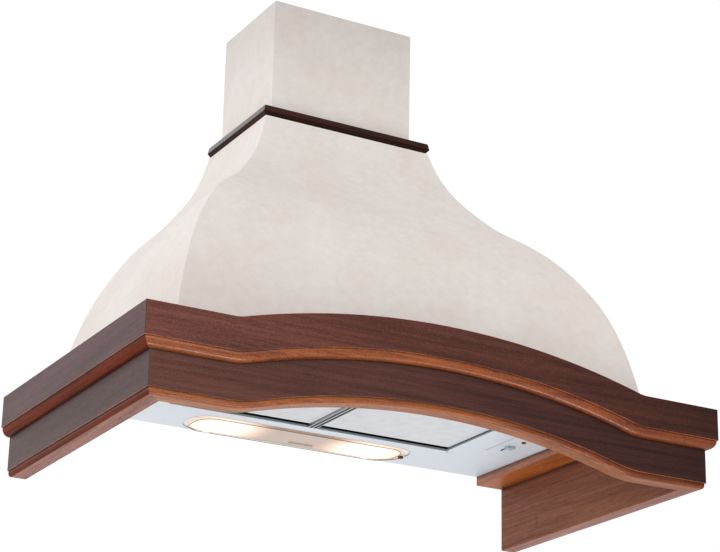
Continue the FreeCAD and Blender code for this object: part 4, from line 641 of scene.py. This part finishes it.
def rim(made, low, high, wide, thick):
    """A folded rim round a rectangle, rounded over its two edges. low.z is its crown."""
    loops = []
    for share, drop in ((0.0, 0.0), (0.0, 0.6), (0.15, 1.0), (0.85, 1.0), (1.0, 0.6), (1.0, 0.0)):
        inset, z = wide * share, low.z + thick * (1 - drop)
        loops.append([made.verts.new((x, y, z)) for x, y in (
            (low.x + inset, low.y + inset), (high.x - inset, low.y + inset),
            (high.x - inset, high.y - inset), (low.x + inset, high.y - inset))])
    for loop, inner in zip(loops, loops[1:] + loops[:1]):
        for i in range(4):
            made.faces.new((loop[i], inner[i], inner[(i + 1) % 4], loop[(i + 1) % 4]))
    bmesh.ops.recalc_face_normals(made, faces=made.faces)


# painted shade: a near-black strip stands in for the shadowed gap between filter and lip
painted_gap_shadow = mottled("black_painted_gap_shadow", 700.0, ("#050506", "#131315"), {"Roughness": 0.9, "Specular IOR Level": 0.1})

divider_low, divider_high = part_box("filter_divider")
lip_y = divider_high.y
inside = Vector((RIM_WIDE * RIM_LAP, RIM_WIDE * RIM_LAP, 0))


def lip_shadow_strip(name, ends, depths, heights):
    """A black strip of painted shade on the opening's lip, from its two ends in x, in y and above the plate."""
    corners = [Vector((x, y, PLATE_LOW + z)) for x, y, z in zip(sorted(ends), depths, heights)]
    new_piece(name, lambda made: block(made, *corners), "hood", painted_gap_shadow)


for side, hand in (("left", -1), ("right", 1)):
    low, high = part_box("filter_frame_" + side)
    face_low = Vector((low.x, low.y, low.z - FACE_THICK))
    face_high = Vector((high.x, high.y - REAR_GAP, low.z))
    new_piece("filter_rim_" + side, lambda made: rim(made, face_low, face_high, RIM_WIDE, FACE_THICK),
              "filter_" + side, rim_painted_highlight)
    gauze_low = Vector((low.x, low.y, low.z - GAUZE_THICK)) + inside
    new_piece("filter_gauze_" + side, lambda made: block(made, gauze_low, face_high - inside),
              "filter_" + side, layers)
    for layer, lean in ((1, 1), (2, -1)):
        strands_low = gauze_low - Vector((0, 0, layer * STRAND_THICK))
        strands_high = face_high - inside
        strands_high.z = strands_low.z + STRAND_THICK
        new_piece(f"filter_strands_{side}_{layer}", lambda made: strands(made, strands_low, strands_high, lean),
                  "filter_" + side, strand_metal)
    lip_shadow_strip("lip_seal_rear_" + side, (hand * divider_high.x, hand * (OPENING_HALF - REAR_SHADOW_STRIP_THICK)),
             (lip_y - REAR_SHADOW_STRIP_THICK, lip_y), REAR_SHADOW_STRIP_HEIGHTS)
    lip_shadow_strip("lip_seal_outer_" + side, (hand * (OPENING_HALF - OUTER_SHADOW_STRIP_THICK), hand * OPENING_HALF),
             (divider_low.y + 0.001, lip_y), OUTER_SHADOW_STRIP_HEIGHTS)


def extrusion(made, low, high):
    """The strip between the filters: a channel whose underside has two square grooves."""
    wall, deep, draft, ease = 0.0012, 0.0024, 0.0002, 0.0004
    near, far = 0.0016, 0.0052  # a groove's sides, from the middle
    half = [(0.0, low.z), (near, low.z), (near + draft, low.z + deep), (far - draft, low.z + deep),
            (far, low.z), (high.x - ease, low.z), (high.x, low.z + ease), (high.x, high.z),
            (high.x - wall, high.z), (high.x - wall, low.z + deep + wall), (0.0, low.z + deep + wall)]
    outline = half + [(-x, z) for x, z in half[-2:0:-1]]
    ends = [[made.verts.new((x, y, z)) for x, z in outline] for y in (low.y, high.y)]
    count = len(outline)
    for i in range(count):
        made.faces.new((ends[0][i], ends[0][(i + 1) % count], ends[1][(i + 1) % count], ends[1][i]))
    for end in ends:
        bmesh.ops.triangulate(made, faces=[made.faces.new(end)])
    bmesh.ops.recalc_face_normals(made, faces=made.faces)


anodised, tree = new_material("aluminium_anodised_extrusion")
spot = add(tree, "TexCoord").outputs["Object"]
lines = add(tree, "TexNoise", {"Vector": stretched(tree, spot, "Y", 80, 0.6), "Scale": 1.0,
                               "Detail": 2.0}).outputs["Fac"]
# painted shade: the grooves and inner corners darken to near black, found by ambient occlusion
corner = add(tree, "AmbientOcclusion", {"Distance": 0.004}, samples=8).outputs["AO"]
worn = add(tree, "Mix", {0: lines, 6: linear("#94989c"), 7: linear("#b9bdc1")}, data_type="RGBA").outputs[2]
unshaded_groove_share = add(tree, "MapRange", {"Value": corner, "From Min": 0.45, "From Max": 0.95}).outputs["Result"]
colour = add(tree, "Mix", {0: unshaded_groove_share, 6: linear("#2c2a2a"), 7: worn}, data_type="RGBA").outputs[2]
surface(tree, {"Base Color": colour, "Metallic": 0.75, "Roughness": 0.3})
divider = new_piece("divider_extrusion", lambda made: extrusion(made, divider_low, divider_high),
                    "hood", anodised)
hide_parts("filter_divider")

# latches, lamp knob, impeller and gland: moulded ABS with a fine spark-eroded grain
black_plastic, tree = new_material("abs_moulded_black")
spot = add(tree, "TexCoord").outputs["Object"]
etch = add(tree, "TexNoise", {"Vector": spot, "Scale": 900.0, "Detail": 2.0}).outputs["Fac"]
colour = add(tree, "Mix", {0: etch, 6: linear("#1d1d1f"), 7: linear("#2b2b2e")}, data_type="RGBA").outputs[2]
gloss = add(tree, "MapRange", {"Value": etch, "To Min": 0.42, "To Max": 0.58}).outputs["Result"]
surface(tree, {"Base Color": colour, "Roughness": gloss})
dress(black_plastic, "filter_latch_left", "filter_latch_right", "lamp_knob", "impeller", "cable_gland")

# ---- Lamp ------------------------------------------------------------------------------------------
# Two tubular bulbs lie end to end behind a diffusing polycarbonate cover, one near each end. The
# cover glows white over each bulb, falls off through warm peach, and is left beige grey in the
# middle. The tray behind it is enamelled white, and the plate's cut edge round it is bare.
BULB_GLOW, GLOW_EDGE = "#fff6e4", "#ffb478"
COVER_GREY, COVER_PALE = "#b9a295", "#cdb9ab"
GLOW_CORE, GLOW_END, GLOW_POWER = 0.030, 0.090, 0.7
BULB_MIDDLES = (Vector((-0.122, -0.0434, 0)), Vector((0.128, -0.0434, 0)))
RECESS_LOW, RECESS_HIGH, RECESS_CORNER = Vector((-0.178, -0.0844)), Vector((0.198, -0.0034)), 0.034
LENS_RIGHT, LENS_CORNER = 0.184, 0.030
BEAD_R = 0.0005
RIDGE_LOW, RIDGE_HIGH = Vector((0.003, -0.0245)), Vector((0.045, -0.0222))
RIDGE_PROUD, RIDGE_SUNK, RIDGE_EASE = 0.0014, 0.0002, 0.0008

glow, tree = new_material("polycarbonate_diffusing_cover")
spot = add(tree, "TexCoord").outputs["Object"]
near = []
for centre in BULB_MIDDLES:
    offset = add(tree, "VectorMath", {0: spot, 1: centre}, operation="SUBTRACT").outputs["Vector"]
    flat = add(tree, "VectorMath", {0: offset, 1: (1.0, 0.85, 0.0)}, operation="MULTIPLY").outputs["Vector"]
    near.append(add(tree, "VectorMath", {0: flat}, operation="LENGTH").outputs["Value"])
nearest = add(tree, "Math", {0: near[0], 1: near[1]}, operation="MINIMUM").outputs[0]
lit = add(tree, "MapRange", {"Value": nearest, "From Min": GLOW_END, "From Max": GLOW_CORE},
          interpolation_type="SMOOTHSTEP").outputs["Result"]
warmth = add(tree, "Mix", {0: lit, 6: linear(GLOW_EDGE), 7: linear(BULB_GLOW)}, data_type="RGBA").outputs[2]
power = add(tree, "Math", {0: lit, 1: GLOW_POWER}, operation="MULTIPLY").outputs[0]
streak = add(tree, "TexNoise", {"Vector": stretched(tree, spot, "X", 40, 3.0), "Scale": 1.0}).outputs["Fac"]
body_tone = add(tree, "Mix", {0: streak, 6: linear(COVER_GREY), 7: linear(COVER_PALE)}, data_type="RGBA").outputs[2]
surface(tree, {"Base Color": body_tone, "Roughness": 0.3, "Emission Color": warmth, "Emission Strength": power})
dress(glow, "lamp_lens")

white_enamel = mottled("steel_enamelled_white", 400.0, ("#eee8e4", "#f6f1ee"), {"Roughness": 0.35})
dress(white_enamel, "lamp_tray")


def bead_round(made, low, high, corner, z, radius, steps=10, sides=6):
    """A thin round bead along a rectangle with round corners."""
    turns = [2 * math.pi * k / sides for k in range(sides)]
    path = []
    for x, y, start in ((high.x - corner, high.y - corner, 0), (low.x + corner, high.y - corner, 90),
                        (low.x + corner, low.y + corner, 180), (high.x - corner, low.y + corner, 270)):
        for i in range(steps + 1):
            a = math.radians(start + 90 * i / steps)
            path.append((x, y, math.cos(a), math.sin(a)))
    rings = [[made.verts.new((x + c * (corner + radius * math.cos(t)), y + s * (corner + radius * math.cos(t)),
                              z + radius * math.sin(t))) for t in turns] for x, y, c, s in path]
    for ring, after in zip(rings, rings[1:] + rings[:1]):
        for k in range(sides):
            made.faces.new((ring[k], ring[(k + 1) % sides], after[(k + 1) % sides], after[k]))
    bmesh.ops.recalc_face_normals(made, faces=made.faces)


cut_edge = mottled("steel_cut_edge_bare", 120.0, ("#b98c74", "#e3c6b6"), {"Metallic": 0.4, "Roughness": 0.4})
outset = Vector((BEAD_R, BEAD_R))
new_piece("lamp_recess_edge", lambda made: bead_round(
    made, RECESS_LOW - outset, RECESS_HIGH + outset, RECESS_CORNER + BEAD_R, PLATE_LOW, 0.0004),
    "hood", cut_edge)
# painted shadow: a thin brown bead round the lens stands in for the shadowed gap between lens and recess
lens_shadow_line = mottled("brown_painted_lens_shadow", 150.0, ("#7d5640", "#a57c62"), {"Roughness": 0.6})
lens_low, lens_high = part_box("lamp_lens")
new_piece("lamp_cover_painted_shadow_line", lambda made: bead_round(
    made, lens_low.xy + outset, Vector((LENS_RIGHT, lens_high.y)) - outset, LENS_CORNER - BEAD_R,
    lens_low.z + 0.0001, BEAD_R), "lamp_cover", lens_shadow_line)


def finger_ridge(made, low, high, ease):
    """A low ridge to pull the cover down by, with its underside eased."""
    block(made, low, high)
    under = [edge for edge in made.edges if all(abs(v.co.z - low.z) < 1e-6 for v in edge.verts)]
    bmesh.ops.bevel(made, geom=under, offset=ease, segments=3, affect="EDGES")
    bmesh.ops.recalc_face_normals(made, faces=made.faces)


ridge_plastic = mottled("polycarbonate_moulded_ridge", 200.0, ("#bfa896", "#e8d6c8"), {"Roughness": 0.25})
new_piece("lamp_cover_ridge", lambda made: finger_ridge(
    made, Vector((*RIDGE_LOW, lens_low.z - RIDGE_PROUD)), Vector((*RIDGE_HIGH, lens_low.z + RIDGE_SUNK)),
    RIDGE_EASE), "lamp_cover", ridge_plastic)

bulb_glass, tree = new_material("bulb_frosted_glass")
spot = add(tree, "TexCoord").outputs["Object"]
frost = add(tree, "TexNoise", {"Vector": spot, "Scale": 500.0}).outputs["Fac"]
colour = add(tree, "Mix", {0: frost, 6: linear("#fff0d8"), 7: linear("#fff8ec")}, data_type="RGBA").outputs[2]
surface(tree, {"Base Color": colour, "Roughness": 0.5, "Emission Color": colour, "Emission Strength": 3.0})
dress(bulb_glass, "lamp_bulbs")

white_plastic = mottled("phenolic_moulded_white", 700.0, ("#dcdcd8", "#e8e8e5"), {"Roughness": 0.45})
dress(white_plastic, "lampholders")

# ---- Controls --------------------------------------------------------------------------------------
# Pale grey slider caps ride in slots of the strip; four printed marks stand round the speed slider
# and a red pilot lamp sits beyond it. A scribed line marks the strip's inner edge.
grey_plastic = mottled("abs_moulded_grey", 800.0, ("#9aa6b2", "#b3bec9"), {"Roughness": 0.45})
dress(grey_plastic, "speed_slider", "light_slider", "control_box", "terminal_box")

print_ink = mottled("screen_printed_grey_ink", 1500.0, ("#3c434d", "#6a7480"), {"Roughness": 0.6})
STRIP_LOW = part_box("control_strip")[0].z
INK_PROUD, INK_SUNK = 0.00015, 0.00005
# each with its middle on the strip, its length and its width
PRINTED = (("speed_mark_1", 0.2909, -0.1834, 0.0024, 0.0010), ("speed_mark_2", 0.2914, -0.1904, 0.0024, 0.0010),
           ("speed_mark_3", 0.2983, -0.1774, 0.0010, 0.0024), ("speed_mark_4", 0.3049, -0.1644, 0.0010, 0.0024),
           ("strip_scribed_line", 0.28405, -0.1875, 0.0009, 0.0750))
for name, x, y, long, wide in PRINTED:
    new_piece(name, lambda made: block(made, Vector((x - long / 2, y - wide / 2, STRIP_LOW - INK_PROUD)),
                                       Vector((x + long / 2, y + wide / 2, STRIP_LOW + INK_SUNK))),
              "hood", print_ink)

pilot_lens, tree = new_material("pilot_lamp_red_acrylic")
spot = add(tree, "TexCoord").outputs["Object"]
facets = add(tree, "TexVoronoi", {"Vector": spot, "Scale": 900.0}).outputs["Distance"]
colour = add(tree, "Mix", {0: facets, 6: linear("#4a060b"), 7: linear("#8c1018")}, data_type="RGBA").outputs[2]
surface(tree, {"Base Color": colour, "Roughness": 0.15})
dress(pilot_lens, "pilot_lamp")

# ---- Blower fixings and motor ----------------------------------------------------------------------
# Bright drawn steel for screws, pins and shaft; the motor's case is dipped in black enamel.
bright_steel, tree = new_material("steel_drawn_bright")
spot = add(tree, "TexCoord").outputs["Object"]
draw = add(tree, "TexNoise", {"Vector": stretched(tree, spot, "X", 30, 0.4), "Scale": 1.0}).outputs["Fac"]
colour = add(tree, "Mix", {0: draw, 6: linear("#b4b5b6"), 7: linear("#cfd0d0")}, data_type="RGBA").outputs[2]
gloss = add(tree, "MapRange", {"Value": draw, "To Min": 0.2, "To Max": 0.38}).outputs["Result"]
surface(tree, {"Base Color": colour, "Metallic": 1.0, "Roughness": gloss})
dress(bright_steel, "rail_screws", "lamp_hinge_pins", "motor_shaft", "damper_pins")

enamelled, tree = new_material("steel_enamelled_black")
spot = add(tree, "TexCoord").outputs["Object"]
peel = add(tree, "TexNoise", {"Vector": spot, "Scale": 300.0, "Detail": 2.0}).outputs["Fac"]
colour = add(tree, "Mix", {0: peel, 6: linear("#18181a"), 7: linear("#232326")}, data_type="RGBA").outputs[2]
dent = add(tree, "Bump", {"Height": peel, "Strength": 0.1, "Distance": 0.0003})
surface(tree, {"Base Color": colour, "Roughness": 0.32, "Normal": dent.outputs["Normal"]})
dress(enamelled, "motor")
